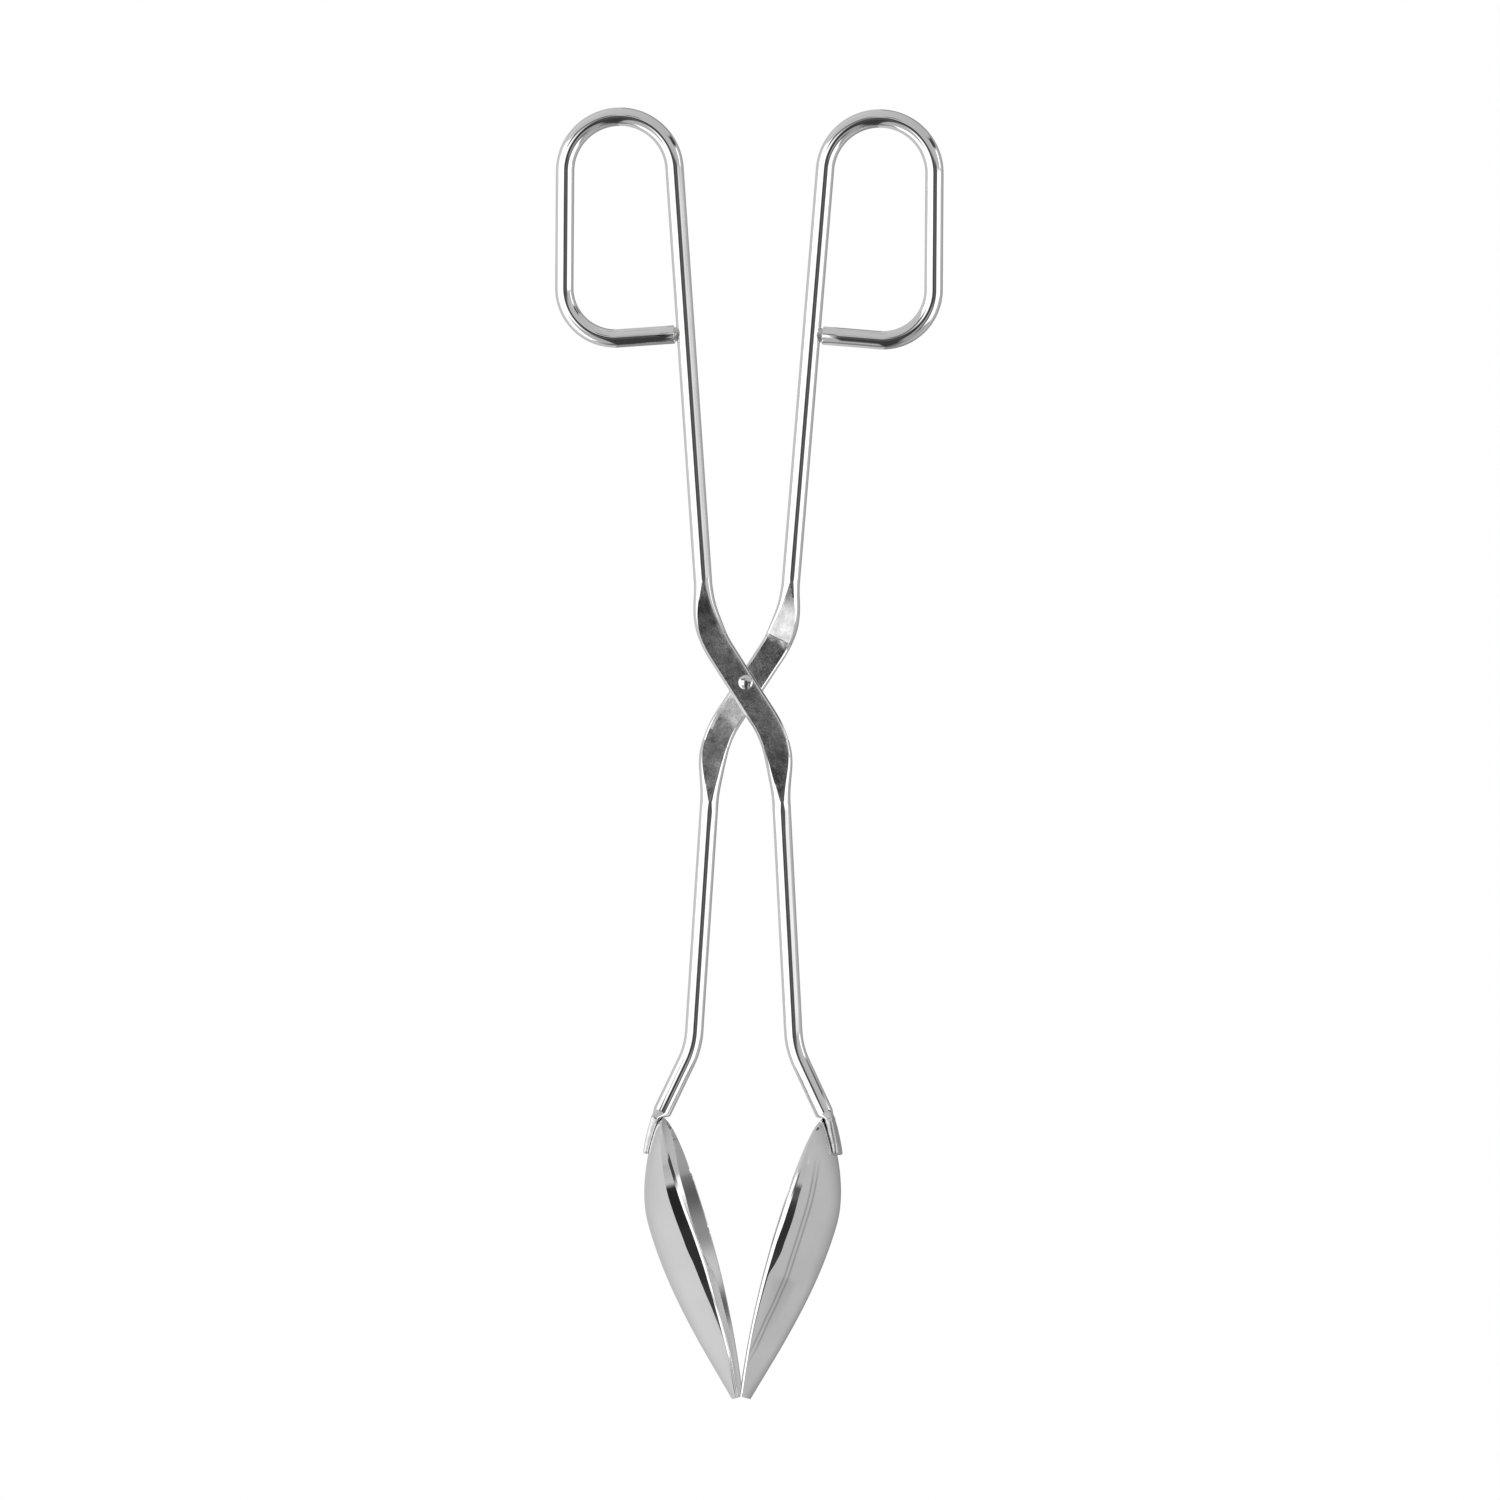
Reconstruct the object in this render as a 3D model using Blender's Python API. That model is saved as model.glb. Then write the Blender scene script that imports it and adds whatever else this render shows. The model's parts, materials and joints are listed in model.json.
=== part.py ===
"""Scissor tongs with two spoon jaws, in metres, +Z up.

Each arm is one length of round steel wire: a closed finger loop, a long handle,
a pressed flat where the two arms cross, a shank, an outward toe and a flattened
paddle. A hollow spoon is spot welded to each paddle, and the loop's free end is
butt welded to the handle. One rivet holds the arms together.

The tongs are two equal halves. The front half has its handle on the left and its
spoon on the right; half a turn about Z makes the back half. They are closed and
stand upright, handles up, with the middle of the spoons' tips at the origin. The
rivet's axis runs along Y. Each half is made with the rivet's middle at (0, 0, 0),
and is then raised to its place.
"""

import math

import bmesh
import bpy
from mathutils import Matrix, Vector

MM = 0.001

# Wire and its bends, from the crossing point outward. Angles are in degrees
# from the vertical.
WIRE_RADIUS = 2.0 * MM
CROSSING_ANGLE = 33.0
CROSSING_DROP = 1.78 * MM
UPPER_FLAT = 10.0 * MM
HANDLE_BEND_RADIUS = 24.0 * MM
HANDLE_ANGLE = 4.34
HANDLE_LENGTH = 93.9 * MM
LOOP_TOP_RADIUS = 11.9 * MM
LOOP_SIDE = 25.2 * MM
LOOP_CORNER_RADIUS = 11.0 * MM
LOWER_FLAT = 7.1 * MM
SHANK_BEND_RADIUS = 22.0 * MM
SHANK_ANGLE = 3.38
SHANK_LENGTH = 57.4 * MM
TOE_BEND_RADIUS = 18.0 * MM
TOE_ANGLE = 25.3
TOE_LENGTH = 11.9 * MM

# Pressed flat at the crossing. Lengths run along the wire from the crossing.
FLAT_HALF_LENGTH = 15.0 * MM
TAPER_END = 26.0 * MM
RECESS_HALF_LENGTH = 13.2 * MM
SHOULDER_LENGTH = 0.2 * MM
SHOULDER_HEIGHT = 0.9 * MM
STRAP_HALF_WIDTH = 3.05 * MM
STRAP_FACE_HALF_WIDTH = 2.4 * MM
STRAP_PRESS_DEPTH = 0.05 * MM

# Paddle at the wire's end. Its stations are lengths down the spoon's back.
PADDLE_HALF_WIDTH = 2.8 * MM
PADDLE_THICKNESS = (1.6 * MM, 1.15 * MM)
PADDLE_STATIONS = (0.8 * MM, 6.4 * MM)
PADDLE_RINGS = 5
PADDLE_SHOULDER = 0.5 * MM
PADDLE_END_ROUND = 0.4 * MM

# Spoon. The curves are Bezier points, in millimetres: length, then depth below
# the mouth or half width.
SPOON_LENGTH = 62.8 * MM
SPOON_NECK = Vector((17.35 * MM, 0.0, -94.5 * MM))
SPOON_TIP_HALF_GAP = 0.1 * MM
SPOON_RIM_BOW = 1.4 * MM
SPOON_SHEET = 1.0 * MM
SPOON_ROLL = 6.0
SPOON_DEPTH_CURVES = (
    ((0.0, 0.45), (3.5, 3.6), (12.0, 9.15), (21.5, 9.15)),
    ((21.5, 9.15), (35.5, 9.15), (48.5, 5.75), (62.8, 1.9)),
)
SPOON_WIDTH_CURVES = (
    ((0.0, 0.9), (1.2, 6.5), (5.0, 12.0), (20.0, 12.0)),
    ((20.0, 12.0), (38.0, 12.0), (53.0, 7.6), (62.8, 3.4)),
)

# Walls of the spoon: a lip, a band below it, then a crease and the shallow arc of
# the bowl. The rise lifts lip, band and crease above the mouth. Near is the -Y side
# of the front half, far its +Y side. Curves are (share of the spoon's length,
# height in millimetres). Leans are degrees, positive where the wall spreads outward
# on its way down. Handles are shares of the chord from the crease to the keel.
NEAR_BAND = (
    (0.0, 0.3),
    (0.14, 0.9),
    (0.27, 1.3),
    (0.38, 1.6),
    (0.45, 1.6),
    (0.52, 1.1),
    (0.58, 0.3),
    (1.0, 0.05),
)
FAR_BAND = (
    (0.0, 0.3),
    (0.14, 1.2),
    (0.31, 2.2),
    (0.42, 2.25),
    (0.52, 1.85),
    (0.63, 1.2),
    (0.7, 0.65),
    (0.85, 0.1),
    (1.0, 0.1),
)
NEAR_LEAN = -12.0
FAR_LEAN = 9.0
NEAR_CREASE_LEAN = 53.0
FAR_CREASE_LEAN = 43.0
NEAR_LIP = ((0.0, 0.15), (0.1, 0.5), (0.25, 1.45), (0.36, 1.45), (0.46, 1.15), (1.0, 0.7))
FAR_LIP = ((0.0, 0.15), (0.1, 0.45), (0.25, 0.6), (1.0, 0.6))
NEAR_LIP_ANGLES = (3.0, 60.0)
FAR_LIP_ANGLES = (45.0, 55.0)
NEAR_RISE = ((0.0, 0.0), (1.0, 0.0))
FAR_RISE = ((0.0, 0.0), (0.25, 0.0), (0.45, 0.55), (0.6, 0.8), (0.82, 0.8), (1.0, 0.1))
NEAR_HANDLES = (0.50, 0.20)
FAR_HANDLES = (0.45, 0.30)
KEEL_OFFSETS = ((0.0, 0.0), (0.13, 0.0), (0.35, 1.5), (0.75, 1.0), (1.0, 0.3))

# Rivet and welds.
RIVET_RADIUS = 1.25 * MM
RIVET_CLEARANCE = 0.06 * MM
RIVET_STANDOFF = 0.05 * MM
RIVET_TAIL_RADIUS = 1.6 * MM
RIVET_TAIL_HEIGHT = 0.7 * MM
RIVET_HEAD_RADIUS = 1.95 * MM
RIVET_HEAD_HEIGHT = 0.85 * MM
RIVET_CAP_EDGE = 0.15 * MM
LOOP_WELD_RADIUS = 1.55 * MM
LOOP_WELD_LENGTH = 0.45 * MM
LOOP_END_CHAMFER = 0.25 * MM
SPOT_WELD_RADIUS = 1.1 * MM
SPOT_WELD_HALF_THICKNESS = 0.45 * MM
SPOT_WELD_STATIONS = (2.6 * MM, 5.0 * MM)
GAP = 0.06 * MM

# Mesh fineness.
WIRE_SIDES = 16
DEGREES_PER_RING = 12.0
TAPER_RINGS = 9
SPOON_RINGS = 30
SPOON_RING_POWER = 1.4
ARC_STEPS = 9
LIP_STEPS = 2
ROUND_SIDES = 32
DOME_RINGS = 4
WELD_SIDES = 20


def clear_scene():
    for thing in list(bpy.data.objects):
        bpy.data.objects.remove(thing)


def steel(name, colour, roughness):
    material = bpy.data.materials.new(name)
    material.use_nodes = True
    shader = material.node_tree.nodes["Principled BSDF"]
    shader.inputs["Base Color"].default_value = (*colour, 1.0)
    shader.inputs["Metallic"].default_value = 1.0
    shader.inputs["Roughness"].default_value = roughness
    return material


def mix(a, b, t):
    return a + (b - a) * t


def smoothstep(x):
    x = min(max(x, 0.0), 1.0)
    return x * x * (3.0 - 2.0 * x)


def on_curve(points, x):
    """Value at x of a smooth curve through (x, value) points that never overshoots."""
    steps = [(b[1] - a[1]) / (b[0] - a[0]) for a, b in zip(points, points[1:])]
    slopes = [0.0] * len(points)
    for i in range(1, len(points) - 1):
        if steps[i - 1] * steps[i] > 0.0:
            slopes[i] = 2.0 * steps[i - 1] * steps[i] / (steps[i - 1] + steps[i])
    i = next((k for k in range(len(steps)) if x <= points[k + 1][0]), len(steps) - 1)
    span = points[i + 1][0] - points[i][0]
    t = min(max((x - points[i][0]) / span, 0.0), 1.0)
    start = points[i][1] + slopes[i] * span * t
    end = points[i + 1][1] - slopes[i + 1] * span * (1.0 - t)
    return mix(start, end, smoothstep(t))


def heading_vector(degrees):
    """Unit vector in the XZ plane: 0 points along +X, 90 along +Z."""
    angle = math.radians(degrees)
    return Vector((math.cos(angle), 0.0, math.sin(angle)))


def left_of(tangent):
    """Unit vector a quarter turn from the tangent, the way +Z is from +X."""
    return Vector((-tangent.z, 0.0, tangent.x))


# ------------------------------------------------------------------ wire path


class Station:
    """One place along the wire: length from the crossing, centre, tangent."""

    def __init__(self, length, centre, tangent):
        self.length = length
        self.centre = centre
        self.tangent = tangent


class WireBender:
    """Lays the wire's centreline as straights and bends, with stations."""

    def __init__(self, start, heading):
        self.at = start.copy()
        self.heading = heading
        self.length = 0.0
        self.stations = []
        self.mark()

    def mark(self):
        tangent = heading_vector(self.heading)
        self.stations.append(Station(self.length, self.at.copy(), tangent))

    def straight(self, distance, marks=()):
        """A straight stretch, with a station at each mark that it passes."""
        begin = self.length
        start = self.at.copy()
        passed = [mark for mark in marks if begin < mark < begin + distance]
        for stop in passed + [begin + distance]:
            self.at = start + heading_vector(self.heading) * (stop - begin)
            self.length = stop
            self.mark()

    def bend(self, angle, radius, marks=()):
        """A bend of that many degrees; a positive one turns from +X to +Z."""
        side = math.copysign(radius, angle)
        centre = self.at + left_of(heading_vector(self.heading)) * side
        begin = self.length
        distance = math.radians(abs(angle)) * radius
        first = self.heading
        count = math.ceil(abs(angle) / DEGREES_PER_RING)
        stops = [begin + distance * (i + 1) / count for i in range(count)]
        stops += [mark for mark in marks if begin < mark < begin + distance]
        for stop in sorted(stops):
            self.heading = first + angle * (stop - begin) / distance
            self.at = centre - left_of(heading_vector(self.heading)) * side
            self.length = stop
            self.mark()


def press_marks():
    """Lengths that need a station: the recess's shoulder and the taper."""
    shoulder = [RECESS_HALF_LENGTH, RECESS_HALF_LENGTH + SHOULDER_LENGTH]
    step = (TAPER_END - FLAT_HALF_LENGTH) / TAPER_RINGS
    return shoulder + [FLAT_HALF_LENGTH + step * i for i in range(TAPER_RINGS + 1)]


def crossing_point():
    return Vector((0.0, 0.0, -CROSSING_DROP))


def handle_path():
    """From the crossing up the handle and round the finger loop."""
    marks = press_marks()
    bender = WireBender(crossing_point(), 90.0 + CROSSING_ANGLE)
    bender.straight(UPPER_FLAT, marks)
    bender.bend(HANDLE_ANGLE - CROSSING_ANGLE, HANDLE_BEND_RADIUS, marks)
    on_handle = bender.at.copy()
    bender.straight(HANDLE_LENGTH, marks)
    bender.bend(180.0 - HANDLE_ANGLE, LOOP_TOP_RADIUS)
    bender.straight(LOOP_SIDE)
    bender.bend(90.0 + HANDLE_ANGLE, LOOP_CORNER_RADIUS)
    to_handle = (on_handle - bender.at).dot(heading_vector(bender.heading))
    bender.straight(to_handle - WIRE_RADIUS - LOOP_WELD_LENGTH - LOOP_END_CHAMFER)
    return bender.stations


def toe_path():
    """From the crossing down the shank to where the paddle starts."""
    marks = press_marks()
    bender = WireBender(crossing_point(), CROSSING_ANGLE - 90.0)
    bender.straight(LOWER_FLAT, marks)
    bender.bend(SHANK_ANGLE - CROSSING_ANGLE, SHANK_BEND_RADIUS, marks)
    bender.straight(SHANK_LENGTH, marks)
    bender.bend(TOE_ANGLE - SHANK_ANGLE, TOE_BEND_RADIUS)
    bender.straight(TOE_LENGTH)
    return bender.stations


# -------------------------------------------------------------- wire sections


def corner_angles():
    """Angles of a wire section's corners: one side faces -Y and one +Y."""
    step = 2.0 * math.pi / WIRE_SIDES
    return [step * (i + 0.5) for i in range(WIRE_SIDES)]


def round_section(radius):
    return [(radius * math.cos(angle), radius * math.sin(angle)) for angle in corner_angles()]


def strap_section(back):
    """(across, y) corners of the pressed flat, whose inner face is at y = back."""
    front = STRAP_PRESS_DEPTH - WIRE_RADIUS
    edge = STRAP_HALF_WIDTH - STRAP_FACE_HALF_WIDTH
    top = math.cos(0.5 * 2.0 * math.pi / WIRE_SIDES)
    corners = []
    for angle in corner_angles():
        side = math.copysign(1.0, math.cos(angle))
        across = side * (STRAP_FACE_HALF_WIDTH + edge * abs(math.cos(angle)))
        height = 0.5 * (front + back) + 0.5 * (back - front) * math.sin(angle) / top
        corners.append((across, height))
    return corners


def paddle_section(thickness, half_width):
    """(across, y) corners of the flattened paddle, wide along Y."""
    corners = []
    for angle in corner_angles():
        across = min(max(2.0 * math.cos(angle), -1.0), 1.0)
        corners.append((0.5 * thickness * across, half_width * math.sin(angle)))
    return corners


def blend_sections(first, second, t):
    return [(mix(a[0], b[0], t), mix(a[1], b[1], t)) for a, b in zip(first, second)]


def wire_section(length):
    """The wire's section: round, but pressed flat near the crossing.

    The outer face, at -Y, is pressed just below the wire's surface. The inner
    face tapers in, then steps down to the tongs' middle plane.
    """
    away = (TAPER_END - length) / (TAPER_END - FLAT_HALF_LENGTH)
    in_recess = length < RECESS_HALF_LENGTH + 0.5 * SHOULDER_LENGTH
    strap = strap_section(-0.5 * GAP if in_recess else SHOULDER_HEIGHT)
    return blend_sections(round_section(WIRE_RADIUS), strap, smoothstep(away))


def ring_at(centre, tangent, section):
    across = left_of(tangent)
    return [centre + across * x + Vector((0.0, y, 0.0)) for x, y in section]


# ---------------------------------------------------------------- spoon shape


def bezier(points, t):
    a, b, c, d = (Vector(point) for point in points)
    s = 1.0 - t
    return a * s**3 + b * 3.0 * s * s * t + c * 3.0 * s * t * t + d * t**3


def height_on(curves, distance):
    """Height at that distance along a chain of Bezier curves."""
    target = distance / MM
    points = next((curve for curve in curves if target <= curve[-1][0]), curves[-1])
    low = 0.0
    high = 1.0
    for _ in range(40):
        middle = 0.5 * (low + high)
        if bezier(points, middle).x < target:
            low = middle
        else:
            high = middle
    return bezier(points, low).y * MM


def spoon_axes():
    """Unit vectors along the mouth, neck to tip, and from the mouth to the back."""
    inward = SPOON_NECK.x - SPOON_TIP_HALF_GAP
    drop = math.sqrt(SPOON_LENGTH**2 - inward**2)
    along = Vector((-inward, 0.0, -drop)).normalized()
    return along, left_of(along)


def spoon_roll():
    """The spoon's small roll about the line of its mouth."""
    along, _ = spoon_axes()
    roll = Matrix.Rotation(math.radians(SPOON_ROLL), 4, along)
    return Matrix.Translation(SPOON_NECK) @ roll @ Matrix.Translation(-SPOON_NECK)


def keel_point(distance):
    """Point on the spoon's back, midway across, before the roll."""
    along, outward = spoon_axes()
    depth = height_on(SPOON_DEPTH_CURVES, distance)
    return SPOON_NECK + along * distance + outward * depth


def keel_tangent(distance):
    step = 0.2 * MM
    return (keel_point(distance + step) - keel_point(distance)).normalized()


def wall(width, keel, band, lean, crease_lean, handles, start):
    """(across, deep) points from below the lip to the keel, across positive."""
    slope = math.tan(math.radians(lean))
    top = Vector((width - band * max(slope, 0.0), start))
    crease = Vector((top.x + band * slope, start + band))
    chord = (keel - crease).length
    turn = math.radians(crease_lean)
    first = crease + Vector((-math.sin(turn), math.cos(turn))) * handles[0] * chord
    last = keel + Vector((handles[1] * chord, 0.0))
    arc = [bezier((crease, first, last, keel), i / ARC_STEPS) for i in range(ARC_STEPS + 1)]
    return [top] + arc


def lip_points(top, lip, sheet, first, last):
    """From the band's top over the rounded edge to the sheet's inner edge."""
    first, last = math.radians(first), math.radians(last)
    rise = math.sin(last) - math.sin(first)
    run = math.cos(first) - math.cos(last)
    inward = min(lip / rise * run, 0.9 * sheet)
    points = []
    for i in range(LIP_STEPS + 1):
        angle = mix(first, last, i / LIP_STEPS)
        out = (math.cos(first) - math.cos(angle)) / run
        deep = lip * (math.sin(last) - math.sin(angle)) / rise
        points.append(Vector((top - inward * out, deep)))
    return points


# Side of the spoon, band, lean, crease's lean, handles, lip, its angles and the rise.
SPOON_WALLS = (
    (1.0, FAR_BAND, FAR_LEAN, FAR_CREASE_LEAN, FAR_HANDLES, FAR_LIP, FAR_LIP_ANGLES, FAR_RISE),
    (-1.0, NEAR_BAND, NEAR_LEAN, NEAR_CREASE_LEAN, NEAR_HANDLES, NEAR_LIP, NEAR_LIP_ANGLES, NEAR_RISE),
)


def rim_bow(distance):
    """How far the rim stands proud of the straight line from neck to tip."""
    share = distance / SPOON_LENGTH
    return SPOON_RIM_BOW * 4.0 * share * (1.0 - share)


def spoon_walls(distance):
    """For the far and the near wall: (across, deep) outside, inside and lip."""
    share = distance / SPOON_LENGTH
    width = height_on(SPOON_WIDTH_CURVES, distance)
    depth = height_on(SPOON_DEPTH_CURVES, distance) + rim_bow(distance)
    sheet = min(SPOON_SHEET, 0.6 * width)
    inner_depth = max(depth - SPOON_SHEET, 0.12 * depth)
    offset = on_curve(KEEL_OFFSETS, share) * MM
    walls = []
    for side, bands, lean, crease_lean, handles, lips, angles, rises in SPOON_WALLS:
        lip = min(on_curve(lips, share) * MM, 0.3 * depth)
        rise = on_curve(rises, share) * MM
        start = 0.12 * lip
        band = min(on_curve(bands, share) * MM, 0.35 * depth)
        inner_band = min(band + lip - start, 0.5 * inner_depth)
        keel = Vector((side * offset, depth))
        inner_keel = Vector((side * offset, inner_depth))
        outside = wall(width, keel, band, lean, crease_lean, handles, lip - rise)
        inside = wall(width - sheet, inner_keel, inner_band, lean, crease_lean, handles, start - rise)
        edge = lip_points(outside[0].x, lip, sheet, *angles)
        edge = [point - Vector((0.0, rise)) for point in edge]
        mirror = Matrix.Scale(side, 2, Vector((1.0, 0.0)))
        walls.append([[mirror @ point for point in points] for points in (outside, inside, edge)])
    return walls


def spoon_ring(distance):
    """Outline of the sheet across the spoon: the far wall, then the near wall."""
    along, outward = spoon_axes()
    walls = spoon_walls(distance)
    far, near = (inside[::-1] + edge[:0:-1] + outside for outside, inside, edge in walls)
    mouth = SPOON_NECK + along * distance - outward * rim_bow(distance)
    section = far + near[-2::-1][:-1]
    return [mouth + outward * point.y + Vector((0.0, point.x, 0.0)) for point in section]


def back_drop(distance, across):
    """How far the spoon's back has fallen from the keel at that place across it."""
    far, near = (outside for outside, _, _ in spoon_walls(distance))
    side = far if across >= 0.0 else near
    reach = abs(across)
    for a, b in zip(side, side[1:]):
        if abs(b.x) <= reach <= abs(a.x):
            share = (reach - abs(a.x)) / (abs(b.x) - abs(a.x))
            return side[-1].y - mix(a.y, b.y, share)
    return side[-1].y - side[0].y if reach > abs(side[0].x) else 0.0


def back_point(distance, across, fit):
    """Point on the spoon's back before the roll; with fit 0 it is on the keel."""
    _, outward = spoon_axes()
    drop = fit * back_drop(distance, across)
    return keel_point(distance) - outward * drop + Vector((0.0, across, 0.0))


def above_back(distance, across, fit, height):
    """Point at a height above the spoon's back, square to it along its length."""
    foot = back_point(distance, across, fit)
    tangent = (back_point(distance + 0.2 * MM, across, fit) - foot).normalized()
    return foot + left_of(tangent) * height


# --------------------------------------------------------------------- meshes


def finished_mesh(name, bm, material):
    bmesh.ops.recalc_face_normals(bm, faces=bm.faces)
    mesh = bpy.data.meshes.new(name)
    bm.to_mesh(mesh)
    bm.free()
    mesh.shade_smooth()
    mesh.set_sharp_from_angle(angle=math.radians(35.0))
    mesh.materials.append(material)
    return mesh


def loft(name, rings, material):
    """Closed mesh through a row of rings that have equal numbers of points."""
    bm = bmesh.new()
    loops = [[bm.verts.new(point) for point in ring] for ring in rings]
    count = len(loops[0])
    for first, second in zip(loops, loops[1:]):
        for i in range(count):
            j = (i + 1) % count
            bm.faces.new((first[i], first[j], second[j], second[i]))
    bm.faces.new(loops[0])
    bm.faces.new(loops[-1])
    return finished_mesh(name, bm, material)


def turned(name, profile, sides, material):
    """Solid turned about Y from (radius, y) points that start and end on Y."""
    bm = bmesh.new()
    points = [bm.verts.new((radius, y, 0.0)) for radius, y in profile]
    edges = [bm.edges.new(pair) for pair in zip(points, points[1:])]
    bmesh.ops.spin(
        bm,
        geom=points + edges,
        cent=(0.0, 0.0, 0.0),
        axis=(0.0, 1.0, 0.0),
        angle=2.0 * math.pi,
        steps=sides,
        use_merge=True,
    )
    bmesh.ops.remove_doubles(bm, verts=bm.verts, dist=0.001 * MM)
    return finished_mesh(name, bm, material)


def arm_mesh(material):
    """The whole wire, from the loop's free end to the paddle's end."""
    upper = handle_path()
    lower = toe_path()
    free_end = upper[-1]
    end_centre = free_end.centre + free_end.tangent * LOOP_END_CHAMFER
    end_section = round_section(WIRE_RADIUS - LOOP_END_CHAMFER)
    rings = [ring_at(end_centre, -free_end.tangent, end_section)]
    for station in reversed(upper[1:]):
        rings.append(ring_at(station.centre, -station.tangent, wire_section(station.length)))
    for station in lower:
        rings.append(ring_at(station.centre, station.tangent, wire_section(station.length)))
    rings += paddle_rings(lower[-1])
    return loft("arm", rings, material)


def paddle_ring(distance, thickness, half_width, height, fit):
    """Outline of the paddle where its middle is at that height above the back."""
    section = paddle_section(thickness, half_width)
    return [above_back(distance, y, fit, height + x) for x, y in section]


def paddle_rings(toe):
    """A shoulder next to the toe's end, then the paddle wrapped on the spoon's back."""
    roll = spoon_roll()
    across = left_of(toe.tangent)
    thickness = PADDLE_THICKNESS[0]
    shoulder = toe.centre + toe.tangent * PADDLE_SHOULDER
    shoulder += across * (WIRE_RADIUS - 0.5 * thickness)
    rings = [ring_at(shoulder, toe.tangent, paddle_section(thickness, PADDLE_HALF_WIDTH))]
    for i in range(PADDLE_RINGS):
        share = i / (PADDLE_RINGS - 1)
        distance = mix(*PADDLE_STATIONS, share)
        thickness = mix(*PADDLE_THICKNESS, share)
        fit = smoothstep(3.0 * share)
        height = GAP + 0.5 * thickness
        rings.append(paddle_ring(distance, thickness, PADDLE_HALF_WIDTH, height, fit))
    end = distance + PADDLE_END_ROUND
    narrow = PADDLE_HALF_WIDTH - PADDLE_END_ROUND
    rings.append(paddle_ring(end, 0.6 * thickness, narrow, height, 1.0))
    return [[roll @ point for point in ring] for ring in rings]


def spoon_mesh(material):
    """The hollow spoon; its rings stand closest together near the neck."""
    roll = spoon_roll()
    rings = []
    for i in range(SPOON_RINGS):
        distance = SPOON_LENGTH * (i / (SPOON_RINGS - 1)) ** SPOON_RING_POWER
        rings.append([roll @ point for point in spoon_ring(distance)])
    return loft("spoon", rings, material)


def rivet_height():
    """How far the rivet's middle stands above the spoons' lowest points."""
    roll = spoon_roll()
    return -min((roll @ point).z for point in spoon_ring(SPOON_LENGTH))


def rivet_cap(radius, height, face):
    """Profile of a domed cap, from the strap's side to its top on the axis."""
    side = math.copysign(1.0, face)
    profile = [(radius, face)]
    for i in range(DOME_RINGS):
        angle = 0.5 * math.pi * i / DOME_RINGS
        rise = RIVET_CAP_EDGE + (height - RIVET_CAP_EDGE) * math.sin(angle)
        profile.append((radius * math.cos(angle), face + side * rise))
    profile.append((0.0, face + side * height))
    return profile


def rivet_mesh(material):
    """Rivet: a small domed tail in front, a wider domed head at the back."""
    face = WIRE_RADIUS - STRAP_PRESS_DEPTH + RIVET_STANDOFF
    tail = rivet_cap(RIVET_TAIL_RADIUS, RIVET_TAIL_HEIGHT, -face)
    head = rivet_cap(RIVET_HEAD_RADIUS, RIVET_HEAD_HEIGHT, face)
    shank = [(RIVET_RADIUS, -face), (RIVET_RADIUS, face)]
    return turned("rivet", tail[::-1] + shank + head, ROUND_SIDES, material)


def bore_mesh(material):
    radius = RIVET_RADIUS + RIVET_CLEARANCE
    reach = 2.0 * WIRE_RADIUS
    profile = [(0.0, -reach), (radius, -reach), (radius, reach), (0.0, reach)]
    return turned("bore", profile, ROUND_SIDES, material)


def lens_mesh(name, radius, half_thickness, material):
    """Flat lens, thin along X: a spot weld's metal, or the pocket for it."""
    bm = bmesh.new()
    bmesh.ops.create_uvsphere(bm, u_segments=12, v_segments=6, radius=1.0)
    quarter_turn = Matrix.Rotation(0.5 * math.pi, 3, "Y")
    bmesh.ops.rotate(bm, verts=bm.verts, matrix=quarter_turn)
    bmesh.ops.scale(bm, verts=bm.verts, vec=(half_thickness, radius, radius))
    return finished_mesh(name, bm, material)


def loop_weld_mesh(material):
    """Neck of weld metal along Y, long enough to reach into the handle."""
    length = LOOP_WELD_LENGTH + WIRE_RADIUS
    radius = LOOP_WELD_RADIUS
    profile = [(0.0, 0.0), (radius, 0.0), (radius, length), (0.0, length)]
    return turned("loop_weld", profile, WELD_SIDES, material)


def handle_cut_mesh(material):
    """The handle's round wire with the gap around it, to shape the loop weld."""
    straight = [station for station in handle_path() if station.length >= TAPER_END]
    section = round_section(WIRE_RADIUS + 0.5 * GAP)
    rings = [ring_at(station.centre, station.tangent, section) for station in straight[:2]]
    return loft("handle_cut", rings, material)


# --------------------------------------------------------------------- places


def place(name, mesh, parent, matrix=None):
    thing = bpy.data.objects.new(name, mesh)
    bpy.context.scene.collection.objects.link(thing)
    thing.parent = parent
    if matrix is not None:
        thing.matrix_local = matrix
    return thing


def place_cutter(name, mesh, parent, matrix=None):
    thing = place(name, mesh, parent, matrix)
    thing.hide_render = True
    thing.display_type = "WIRE"
    return thing


def cut(thing, cutter):
    modifier = thing.modifiers.new(cutter.name, "BOOLEAN")
    modifier.operation = "DIFFERENCE"
    modifier.solver = "EXACT"
    modifier.object = cutter


def axes_matrix(centre, x_axis, y_axis, z_axis):
    turn = Matrix((x_axis, y_axis, z_axis)).transposed().to_4x4()
    return Matrix.Translation(centre) @ turn


def spot_weld_matrix(distance):
    """Between spoon and paddle, with the lens lying flat on the spoon's back."""
    tangent = keel_tangent(distance)
    outward = left_of(tangent)
    centre = keel_point(distance) + outward * 0.5 * GAP
    return spoon_roll() @ axes_matrix(centre, outward, Vector((0.0, 1.0, 0.0)), -tangent)


def loop_weld_matrix():
    """At the loop's free end, with local Y pointing at the handle."""
    end = handle_path()[-1]
    centre = end.centre + end.tangent * (LOOP_END_CHAMFER + 0.5 * GAP)
    return axes_matrix(centre, left_of(end.tangent), end.tangent, Vector((0.0, 1.0, 0.0)))


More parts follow.
